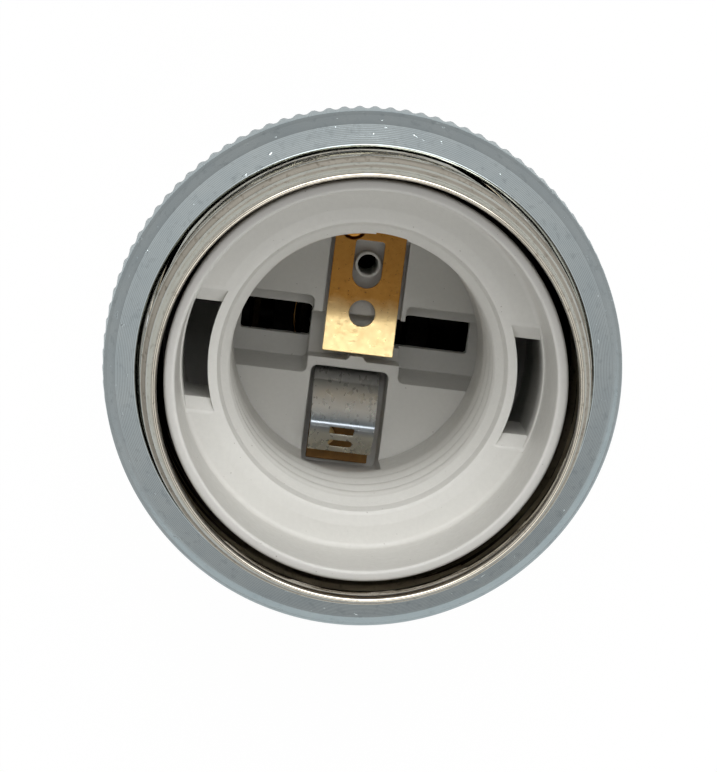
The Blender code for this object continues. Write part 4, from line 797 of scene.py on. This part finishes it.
def thread_insert(material):
    collar_inner = COLLAR_RADIUS - COLLAR_WALL
    step_z = FLOOR_Z - FLOOR_SHOULDER_DROP
    lead_in_z = step_z - STEP_DROP - LEAD_IN_DROP
    underside = FLOOR_Z - FLOOR_THICKNESS
    flange_top = CARRIER_RIM_Z + SEAT_GAP + FLANGE_THICKNESS
    corners = [
        (LAMP_CREST_RADIUS, TUBE_END_Z, 0.1 * MM),
        (TUBE_RADIUS, TUBE_END_Z, 0.1 * MM),
        (TUBE_RADIUS, underside, 0.3 * MM),
        (collar_inner, underside, 0.3 * MM),
        (collar_inner, flange_top - FLANGE_THICKNESS, 0.2 * MM),
        (FLANGE_RADIUS, flange_top - FLANGE_THICKNESS, 0.2 * MM),
        (FLANGE_RADIUS, flange_top, 0.2 * MM),
        (COLLAR_RADIUS, flange_top, 0.4 * MM),
        (COLLAR_RADIUS, INSERT_RIM_Z, 0.3 * MM),
        (collar_inner, INSERT_RIM_Z, 0.3 * MM),
        (collar_inner, FLOOR_Z, 0.5 * MM),
        (FLOOR_SHOULDER_RADIUS, FLOOR_Z, 1.2 * MM),
        (STEP_RADIUS + 0.35 * MM, step_z, 0.5 * MM),
        (STEP_RADIUS, step_z - 0.1 * MM, 0.12 * MM),
        (STEP_FOOT_RADIUS, step_z - STEP_DROP, 0.25 * MM),
        (LAMP_CREST_RADIUS + 0.15 * MM, lead_in_z, 0.2 * MM),
        (LAMP_CREST_RADIUS, lead_in_z - 0.3 * MM, 0.0),
    ]
    outline = rounded_outline(corners, 1.2 * MM, 5)
    start = (LAMP_CREST_RADIUS, lead_in_z - 0.3 * MM)
    last = int(np.argmin(np.abs(outline - start).sum(axis=1)))
    outline = outline[:last + 1]
    thread_rows = np.linspace(lead_in_z - 0.3 * MM, LAMP_THREAD_END_Z, 100)[1:]
    plain_rows = np.linspace(LAMP_THREAD_END_Z, TUBE_END_Z + 0.5 * MM, 6)[1:]
    columns = INSERT_COLUMNS
    angle = 2 * pi * np.arange(columns) / columns
    radius = list(np.repeat(outline[:, :1], columns, axis=1))
    height = list(np.repeat(outline[:, 1:], columns, axis=1))
    for z in np.concatenate((thread_rows, plain_rows)):
        wave = thread_wave(z, angle, RIM_Z - LAMP_CREST_DROP, LAMP_CREST_ANGLE, LAMP_THREAD_PITCH)
        depth = LAMP_THREAD_HEIGHT * smooth_step((z - LAMP_THREAD_END_Z) / LAMP_THREAD_PITCH)
        merge = smooth_step((lead_in_z - z) / (1.0 * MM))
        radius.append(LAMP_CREST_RADIUS + merge * depth * (1 - wave))
        height.append(np.full_like(angle, z))
    mesh = grid_mesh("moulded_insert", np.array(radius), np.array(height), columns)
    insert = mesh_object("moulded_insert", mesh, material)
    carve(insert, [(window_cutters(), 'DIFFERENCE'), (shaft_walls(), 'UNION'), (lip_notch(), 'DIFFERENCE'),
                   (leaf_notch(), 'DIFFERENCE')], 'MANIFOLD')
    return stands_for(insert, "thread_insert", "socket")


def shaft_walls():
    """The walls below the ends of the windows."""
    tube_middle = (LAMP_CREST_RADIUS + LAMP_THREAD_HEIGHT + TUBE_RADIUS) / 2
    collar_middle = COLLAR_RADIUS - COLLAR_WALL / 2
    near = WINDOW_HALF_LENGTH + SHAFT_SETBACK
    far = near + SHAFT_WALL
    bm = bmesh.new()
    for side in (-1, 1):
        for end in (-1, 1):
            outline = []
            for radius, y in ((tube_middle, near), (collar_middle, near), (collar_middle, far),
                              (tube_middle, far)):
                outline.append((side * np.sqrt(radius * radius - y * y), end * y))
            join_solid(bm, prism(outline, FLOOR_Z - SHAFT_DEPTH, FLOOR_Z - FLOOR_THICKNESS / 2))
    return bm


def lip_notch():
    """Notch in the lip where the thread starts."""
    outline = []
    for radius, order in ((LAMP_CREST_RADIUS + LIP_NOTCH_DEPTH, 1), (LAMP_CREST_RADIUS - MM, -1)):
        for step in range(9):
            share = step / 8 if order > 0 else 1 - step / 8
            angle = LIP_NOTCH_START + share * (LIP_NOTCH_END - LIP_NOTCH_START)
            outline.append((radius * cos(angle), radius * sin(angle)))
    top = FLOOR_Z - FLOOR_SHOULDER_DROP - STEP_DROP - LEAD_IN_DROP
    return prism(outline, top - LIP_NOTCH_HEIGHT, top)


def leaf_notch():
    """Opening in the foot of the tube, over the end of the leaf."""
    outline = rectangle(POCKET_LEFT, POCKET_RIGHT, -TUBE_RADIUS - MM, LEAF_END)
    return prism(outline, TUBE_END_Z - MM, TUBE_END_Z + LEAF_NOTCH_HEIGHT)


def join_solid(bm, part):
    """Add a second solid to a bmesh."""
    mesh = bpy.data.meshes.new("part")
    part.to_mesh(mesh)
    part.free()
    bm.from_mesh(mesh)
    bpy.data.meshes.remove(mesh)


def window_cutters():
    """Both windows, with their chamfered ends and a small round at the floor's edge."""
    bm = bmesh.new()
    reach = WINDOW_HALF_LENGTH
    long_reach = reach + WINDOW_CHAMFER_LENGTH
    edge = WINDOW_EDGE
    levels = [(0.0, reach, FLOOR_Z - FLOOR_THICKNESS - 1 * MM), (0.0, reach, FLOOR_Z - WINDOW_CHAMFER_DROP),
              (0.0, long_reach - edge, FLOOR_Z - edge), (0.3 * edge, long_reach, FLOOR_Z - 0.3 * edge),
              (edge, long_reach + 2 * edge, FLOOR_Z), (edge, long_reach + 2 * edge, FLOOR_Z + 0.4 * MM)]
    for side in (-1, 1):
        join_solid(bm, loft([(window_outline(side, grow, half), z) for grow, half, z in levels]))
    return bm


def contact_carrier(material):
    """Moulded block under the tube, with its trenches, slots, channel, boss and leaf pocket."""
    over = PLATEAU_Z + MM
    underside = PLATEAU_Z - CARRIER_PLATE
    under = underside - MM
    floor = PLATEAU_Z - TRENCH_FLOOR_DROP
    axis = (0, 0)
    body = tidy_object("moulded_carrier", prism(circle(axis, CARRIER_RADIUS, 128), SHELL_END_Z, CARRIER_RIM_Z),
                       material)
    cuts = [prism(circle(axis, CARRIER_CUP_RADIUS, 128), PLATEAU_Z, CARRIER_RIM_Z + MM),
            prism(circle(axis, CARRIER_SKIRT_RADIUS, 128), SHELL_END_Z - MM, underside)]
    for low, high in ((-TRENCH_REACH, TRENCH_LEFT_END), (TRENCH_RIGHT_END, TRENCH_REACH)):
        wide = rounded_rectangle(low, high, TRENCH_BOTTOM, SLOT_TOP, TRENCH_CORNER)
        narrow = rounded_rectangle(low, high, TRENCH_BOTTOM + TRENCH_SLOPE, SLOT_TOP, TRENCH_CORNER)
        shelf = rounded_rectangle(low, high, SLOT_TOP - MM, TRENCH_TOP, TRENCH_CORNER)
        slot = rounded_rectangle(max(low, -SLOT_REACH), min(high, SLOT_REACH), SLOT_BOTTOM,
                                 SLOT_TOP - 0.05 * MM, 0.3 * MM)
        cuts.append(loft([(narrow, floor), (wide, PLATEAU_Z), (wide, over)]))
        cuts.append(prism(shelf, PLATEAU_Z - TRENCH_SHELF_DROP, over + MM))
        cuts.append(prism(slot, under, floor + MM))
    inner_slot = rectangle(TRENCH_RIGHT_END - SLOT_INNER_REACH, TRENCH_RIGHT_END + 0.25 * MM,
                           SLOT_BOTTOM, RECESS_TOP)
    cuts.append(prism(inner_slot, under, over))
    rib_left = CHANNEL_CENTRE - RIB_WIDTH / 2
    rib_right = CHANNEL_CENTRE + RIB_WIDTH / 2
    left = TRENCH_LEFT_END - 0.5 * MM
    right = TRENCH_RIGHT_END + 0.5 * MM
    base = RECESS_BOTTOM + RIB_FLARE
    recess = [(left, RECESS_TOP), (left, RECESS_BOTTOM),
              (rib_left - RIB_FLARE, RECESS_BOTTOM), (rib_left, base), (rib_left, RIB_END),
              (rib_right, RIB_END), (rib_right, base), (rib_right + RIB_FLARE, RECESS_BOTTOM),
              (right, RECESS_BOTTOM), (right, RECESS_TOP)]
    cuts.append(prism(recess, PLATEAU_Z - RECESS_DROP, over + 2 * MM))
    half_channel = (CONTACT_HIGH.x - CONTACT_LOW.x) / 2 + CHANNEL_SIDE_GAP
    channel_left = CHANNEL_CENTRE - half_channel
    channel_right = CHANNEL_CENTRE + half_channel
    cuts.append(prism(rectangle(channel_left, channel_right, RECESS_TOP - 0.5 * MM, SEAT_START),
                      PLATEAU_Z - CHANNEL_DROP, over + 3 * MM))
    cuts.append(prism(rectangle(channel_left, channel_right, SEAT_START - 0.5 * MM, CHANNEL_END),
                      PLATEAU_Z - SEAT_DROP, over + 4 * MM))
    pocket = [rounded_rectangle(POCKET_LEFT + inset, POCKET_RIGHT - inset, POCKET_BOTTOM + inset,
                                POCKET_TOP - inset, POCKET_CORNER - inset) for inset in (0.0, 0.12 * MM)]
    cuts.append(loft([(pocket[1], PLATEAU_Z - POCKET_DROP), (pocket[0], PLATEAU_Z), (pocket[0], over)]))
    tools = [(bm, 'DIFFERENCE') for bm in cuts]
    centre = (CHANNEL_CENTRE, BOSS_PLACE)
    top = PLATEAU_Z - BOSS_DROP
    tools.append((loft([(circle(centre, BOSS_RADIUS - inset, 48), z) for inset, z in (
        (0.0, PLATEAU_Z - CHANNEL_DROP - MM), (0.0, top - 0.12 * MM),
        (0.04 * MM, top - 0.04 * MM), (0.12 * MM, top),
    )]), 'UNION'))
    tools.append((loft([(circle(centre, BOSS_HOLE_RADIUS + grow, 48), z) for grow, z in (
        (0.0, under), (0.0, top - 0.1 * MM), (0.1 * MM, top + 0.02 * MM), (0.1 * MM, over),
    )]), 'DIFFERENCE'))
    for place in (CENTRE_RIVET_PLACE, SIDE_RIVET_PLACE):
        tools.append((prism(circle(place, RIVET_HOLE_RADIUS, 24), under, over), 'DIFFERENCE'))
    for side in (-1, 1):
        hole = circle((0, side * SCREW_PLACE_RADIUS), SCREW_HOLE_RADIUS, 24)
        tools.append((prism(hole, under, over), 'DIFFERENCE'))
    carve(body, tools)
    return stands_for(body, "contact_carrier", "socket")


def smooth_path(points, fillets, steps=6):
    """An open path with an arc at each inner corner."""
    corners = [(*point, fillet) for point, fillet in zip(points, fillets)]
    path = [Vector(points[0])]
    for index in range(1, len(points) - 1):
        x, y, fillet = corners[index]
        here = Vector((x, y))
        before = (Vector(points[index - 1]) - here).normalized()
        after = (Vector(points[index + 1]) - here).normalized()
        turn = before.angle(after)
        reach = fillet / np.tan(turn / 2)
        start = here + before * reach
        end = here + after * reach
        centre = here + (before + after).normalized() * fillet / sin(turn / 2)
        sweep = (start - centre).angle_signed(end - centre)
        for step in range(steps + 1):
            arm = (start - centre).copy()
            arm.rotate(Matrix.Rotation(-sweep * step / steps, 2))
            path.append(centre + arm)
    path.append(Vector(points[-1]))
    return path


def thickened(path, thickness):
    """Outline of a bent sheet around its middle line."""
    sides = ([], [])
    for index, point in enumerate(path):
        before = path[max(index - 1, 0)]
        after = path[min(index + 1, len(path) - 1)]
        along = (after - before).normalized()
        normal = Vector((-along.y, along.x))
        for side, sign in zip(sides, (1, -1)):
            side.append(tuple(point + sign * normal * thickness / 2))
    return sides[0] + sides[1][::-1]


def centre_contact(material):
    top_z = CONTACT_HIGH.z - CENTRE_RISE
    middle = top_z - CONTACT_SHEET / 2
    path = smooth_path([(CONTACT_LOW.y, middle + CENTRE_RISE), (CENTRE_BEND, middle), (CONTACT_HIGH.y, middle)],
                       [0, 9 * MM, 0], 14)
    section = prism(thickened(path, CONTACT_SHEET), CONTACT_LOW.x, CONTACT_HIGH.x, 'X')
    strip = tidy_object("brass_centre_contact", section, material, STRIP_SHARP_ANGLE)
    low, high = CONTACT_LOW.z - MM, CONTACT_HIGH.z + MM
    slot = prism(punched_slot(CHANNEL_CENTRE, CENTRE_SLOT_LOW, CENTRE_SLOT_HIGH, CENTRE_SLOT_WIDTH / 2,
                              CENTRE_SLOT_CORNER), low, high)
    hole = prism(circle((CHANNEL_CENTRE, CENTRE_HOLE_PLACE), CENTRE_HOLE_RADIUS, 48), low, high)
    rivet_hole = loft([(circle(CENTRE_RIVET_PLACE, radius), z) for radius, z in (
        (RIVET_HOLE_RADIUS, low), (RIVET_HOLE_RADIUS, top_z - CONTACT_SHEET), (RIVET_HEAD_HOLE_RADIUS, top_z),
        (RIVET_HEAD_HOLE_RADIUS, high),
    )])
    carve(strip, [(slot, 'DIFFERENCE'), (hole, 'DIFFERENCE'), (rivet_hole, 'DIFFERENCE')])
    return stands_for(strip, "centre_contact", "centre_spring")


def side_contact(material):
    foot_z = LEAF_LOW.z + LEAF_SHEET / 2
    bend_radius = LEAF_BEND_HEIGHT / 2
    bend_y = LEAF_ROOT - bend_radius + LEAF_SHEET / 2
    fold_z = LEAF_HIGH.z - LEAF_SHEET / 2
    root = (bend_y - 0.6 * bend_radius, foot_z + 2.1 * bend_radius)
    crown = ((root[0] + LEAF_FOLD) / 2, (root[1] + fold_z) / 2 + LEAF_CROWN)
    points = [(LEAF_FOOT, foot_z), (bend_y + 0.9 * bend_radius, foot_z),
              (bend_y + 1.0 * bend_radius, foot_z + 1.3 * bend_radius),
              root, crown, (LEAF_FOLD, fold_z), (LEAF_KNEE, fold_z - LEAF_KNEE_DROP),
              (LEAF_END, fold_z - LEAF_END_DROP)]
    path = smooth_path(points, [0, 0.45 * MM, 0.35 * MM, 0.5 * MM, 8 * MM, 0.45 * MM, 0.3 * MM, 0], 6)
    half = LEAF_ROOT_WIDTH / 2
    bm = prism(thickened(path, LEAF_SHEET), LEAF_CENTRE - half, LEAF_CENTRE + half, 'X')
    for point in bm.verts:
        share = min(max((LEAF_ROOT - point.co.y) / (LEAF_ROOT - LEAF_END), 0.0), 1.0)
        width = LEAF_ROOT_WIDTH + share * (LEAF_END_WIDTH - LEAF_ROOT_WIDTH)
        point.co.x = LEAF_CENTRE + (point.co.x - LEAF_CENTRE) * width / LEAF_ROOT_WIDTH
    leaf = tidy_object("sprung_side_contact", bm, material, STRIP_SHARP_ANGLE)
    left = LEAF_CENTRE - LEAF_SLOT_WIDTH / 2
    windows = []
    for middle, corner in (((LEAF_FOLD + LEAF_KNEE) / 2, 0.12 * MM), ((LEAF_KNEE + LEAF_END) / 2, 0.36 * MM)):
        low = middle - LEAF_SLOT_LENGTH / 2
        window = rounded_rectangle(left, left + LEAF_SLOT_WIDTH, low, low + LEAF_SLOT_LENGTH, corner)
        windows.append((prism(window, LEAF_HIGH.z - 3 * MM, LEAF_HIGH.z + MM), 'DIFFERENCE'))
    carve(leaf, windows)
    soften(leaf, 0.05 * MM)
    return stands_for(leaf, "side_contact", "side_spring")


def cap(material):
    skirt_inner = CAP_RADIUS - CAP_SHEET
    dome_height = CAP_LEDGE_Z - CAP_SHEET - CAP_END_Z
    dome_width = CAP_LEDGE_INNER_RADIUS + CAP_SHEET - CAP_END_RADIUS
    outer = []
    inner = []
    for step in range(19):
        angle = pi / 2 * step / 18
        radius = CAP_END_RADIUS + dome_width * cos(angle)
        height = CAP_LEDGE_Z - CAP_SHEET - dome_height * sin(angle)
        outer.append((radius, height, 0))
        inner.append((radius - CAP_SHEET * cos(angle), height + CAP_SHEET * sin(angle), 0))
    corners = [
        (CAP_RADIUS, CAP_TOP_Z, 0.25 * MM), (CAP_RADIUS, CAP_LEDGE_Z - CAP_SHEET, 0.9 * MM), *outer,
        (CAP_HOLE_RADIUS, CAP_END_Z, 0.1 * MM), (CAP_HOLE_RADIUS, CAP_END_Z + CAP_SHEET, 0.1 * MM),
        *inner[::-1],
        (CAP_LEDGE_INNER_RADIUS, CAP_LEDGE_Z, 0.1 * MM), (skirt_inner, CAP_LEDGE_Z, 0.3 * MM),
        (skirt_inner, CAP_TOP_Z, 0.2 * MM),
    ]
    return stands_for(turned("drawn_cap", corners, 180, material), "cap", "socket")


def entry_bush(material):
    top = BUSH_HIGH.z
    edge = BUSH_CHAMFER
    corners = [
        (BUSH_BORE_RADIUS + edge, 0, 0.05 * MM), (BUSH_COLLAR_RADIUS - edge, 0, 0.05 * MM),
        (BUSH_COLLAR_RADIUS, edge, 0.05 * MM), (BUSH_COLLAR_RADIUS, BUSH_COLLAR_HEIGHT, 0.15 * MM),
        (BUSH_SHANK_RADIUS, BUSH_COLLAR_HEIGHT, 0.05 * MM), (BUSH_SHANK_RADIUS, top - edge, 0.05 * MM),
        (BUSH_SHANK_RADIUS - edge, top, 0.05 * MM), (BUSH_BORE_RADIUS + edge, top, 0.05 * MM),
        (BUSH_BORE_RADIUS, top - edge, 0.05 * MM), (BUSH_BORE_RADIUS, edge, 0.05 * MM),
    ]
    bush = turned("turned_entry_bush", corners, 128, material)
    hole = prism(circle((0, BUSH_COLLAR_HEIGHT / 2), GRUB_HOLE_RADIUS, 24), BUSH_BORE_RADIUS - MM,
                 BUSH_COLLAR_RADIUS + MM, 'X')
    carve(bush, [(hole, 'DIFFERENCE')])
    return stands_for(bush, "entry_bush", "socket")


def dress_frame_nodes(finishes):
    """The frame's own small pieces keep their meshes and get a finish and soft edges."""
    for name, look, edge in (
        ("side_contact_strip", "bronze", 0.12),
        ("centre_rivet", "brass", 0.08), ("side_rivet", "brass", 0.08),
        ("centre_terminal", "dark_brass", 0.15), ("side_terminal", "dark_brass", 0.15),
        ("centre_terminal_screw", "dark_steel", 0.1), ("side_terminal_screw", "dark_steel", 0.1),
        ("carrier_screw_upper", "steel", 0.1), ("carrier_screw_lower", "steel", 0.1),
        ("bush_nut", "dark_steel", 0.2), ("bush_grub_screw", "steel", 0.08),
        ("earth_tag", "dark_brass", 0.1), ("earth_screw", "dark_steel", 0.1),
    ):
        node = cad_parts[name]
        node.data.materials.clear()
        node.data.materials.append(finishes[look])
        soften(node, edge * MM, weld=True)


# Studio

def studio_world():
    """White to the camera. To the object: a room, dark overhead where the camera stands, and two soft boxes."""
    world = bpy.data.worlds.new("studio")
    bpy.context.scene.world = world
    world.use_nodes = True
    look = Nodes(world.node_tree)
    look.tree.nodes.clear()
    direction = look.node('ShaderNodeTexCoord').outputs["Generated"]
    split = look.node('ShaderNodeSeparateXYZ')
    look.link(direction, split.inputs[0])
    height = look.level(look.math('ARCSINE', split.outputs["Z"]), -pi / 2, pi / 2)
    light = look.ramp(height, [((elevation + 90) / 180, level) for elevation, level in ROOM_LEVELS])
    for azimuth, elevation, half_width, level in SOFT_BOXES:
        across = cos(radians(elevation))
        towards = look.node('ShaderNodeVectorMath', operation='DOT_PRODUCT')
        look.link(direction, towards.inputs[0])
        towards.inputs[1].default_value = (across * cos(radians(azimuth)), across * sin(radians(azimuth)),
                                           sin(radians(elevation)))
        box = look.node('ShaderNodeMapRange', interpolation_type='SMOOTHSTEP')
        outside, inside = (cos(radians(half_width + edge)) for edge in (SOFT_BOX_EDGE, -SOFT_BOX_EDGE))
        for value, target in zip((towards.outputs["Value"], outside, inside, 0.0, level), box.inputs):
            look.put(value, target)
        light = look.mix(1.0, light, box.outputs[0], 'ADD')
    seen = look.node('ShaderNodeLightPath').outputs["Is Camera Ray"]
    background = look.node('ShaderNodeBackground')
    look.link(look.mix(seen, light, (1.0, 1.0, 1.0)), background.inputs["Color"])
    look.link(background.outputs[0], look.node('ShaderNodeOutputWorld').inputs[0])


def pale_floor():
    """Round pale floor, nearly white to the camera except where it is seen through the bush's bore."""
    bm = bmesh.new()
    ring = [bm.verts.new((x, y, 0)) for x, y in circle((0, 0), FLOOR_RADIUS, 96)]
    bm.faces.new(ring)
    look = Finish("pale_floor", 0.7, 0.0)
    grain = look.noise(0.05, 3.0)
    pale = look.mix(grain, srgb(240, 240, 240), srgb(246, 246, 246))
    mirrored = look.node('ShaderNodeLightPath').outputs["Is Glossy Ray"]
    look.finish(look.mix(mirrored, pale, srgb(176, 182, 184)))
    glow = look.node('ShaderNodeEmission')
    glow.inputs["Strength"].default_value = 1.0
    blend = look.node('ShaderNodeMixShader')
    seen = look.node('ShaderNodeLightPath').outputs["Is Camera Ray"]
    clear_of_bore = look.level(look.radius, BUSH_BORE_RADIUS / MM, BUSH_COLLAR_RADIUS / MM)
    look.link(look.math('MULTIPLY', look.math('MULTIPLY', seen, FLOOR_GLOW), clear_of_bore), blend.inputs[0])
    look.link(look.shader.outputs[0], blend.inputs[1])
    look.link(glow.outputs[0], blend.inputs[2])
    output = look.tree.nodes["Material Output"]
    look.link(blend.outputs[0], output.inputs["Surface"])
    floor = tidy_object("floor", bm, look.material)
    floor.location.z = -FLOOR_GAP


def photo_camera():
    data = bpy.data.cameras.new("camera")
    data.sensor_fit = 'HORIZONTAL'
    data.sensor_width = SENSOR_WIDTH_MM
    data.lens = FOCAL_LENGTH_PIXELS / IMAGE_WIDTH * SENSOR_WIDTH_MM
    data.clip_start = 0.01
    camera = bpy.data.objects.new("camera", data)
    back = -CAMERA_FORWARD.normalized()
    right = CAMERA_UP.cross(back).normalized()
    up = back.cross(right)
    camera.matrix_world = Matrix.Translation(CAMERA_PLACE) @ Matrix((right, up, back)).transposed().to_4x4()
    bpy.context.scene.collection.objects.link(camera)
    bpy.context.scene.camera = camera


finishes = {
    "moulding": moulding_finish(),
    "block": moulding_finish("grey_block", 0.2 * MM),
    # The second colour given to each nickel finish is painted shade for its inner faces.
    "shell": nickel_finish("nickel_plate", srgb(92, 80, 66)),
    "cap": nickel_finish("nickel_cap", srgb(44, 40, 34)),
    "zinc": ring_finish(),
    "brass": brass_finish(),
    "strip": brass_finish("brass_strip", 0.1 * MM),
    # Painted shade for the small parts inside the cap.
    "dark_brass": dark_finish("dark_brass", srgb(58, 46, 30), srgb(36, 28, 20)),
    "dark_steel": dark_finish("dark_steel", srgb(54, 52, 50), srgb(34, 33, 31)),
    "bush": bush_finish(),
    "spring": spring_finish(),
    "bronze": metal_finish("bronze_strip", (srgb(124, 90, 52), srgb(172, 130, 80)), (1.3, 5.0),
                           (2.2, 0.28, 0.48), (2.8, 4.0, 0.05 * MM, 0.6)),
    "steel": metal_finish("screw_steel", (srgb(186, 188, 188), srgb(206, 206, 202)), (1.0, 4.0),
                          (2.4, 0.24, 0.42), (4.0, 3.0, 0.02 * MM, 0.5)),
}
outer_shell(finishes["shell"])
shade_ring(finishes["zinc"])
thread_insert(finishes["moulding"])
contact_carrier(finishes["block"])
centre_contact(finishes["strip"])
side_contact(finishes["spring"])
cap(finishes["cap"])
entry_bush(finishes["bush"])
dress_frame_nodes(finishes)
studio_world()
pale_floor()
photo_camera()
bpy.context.scene.view_settings.view_transform = 'Standard'
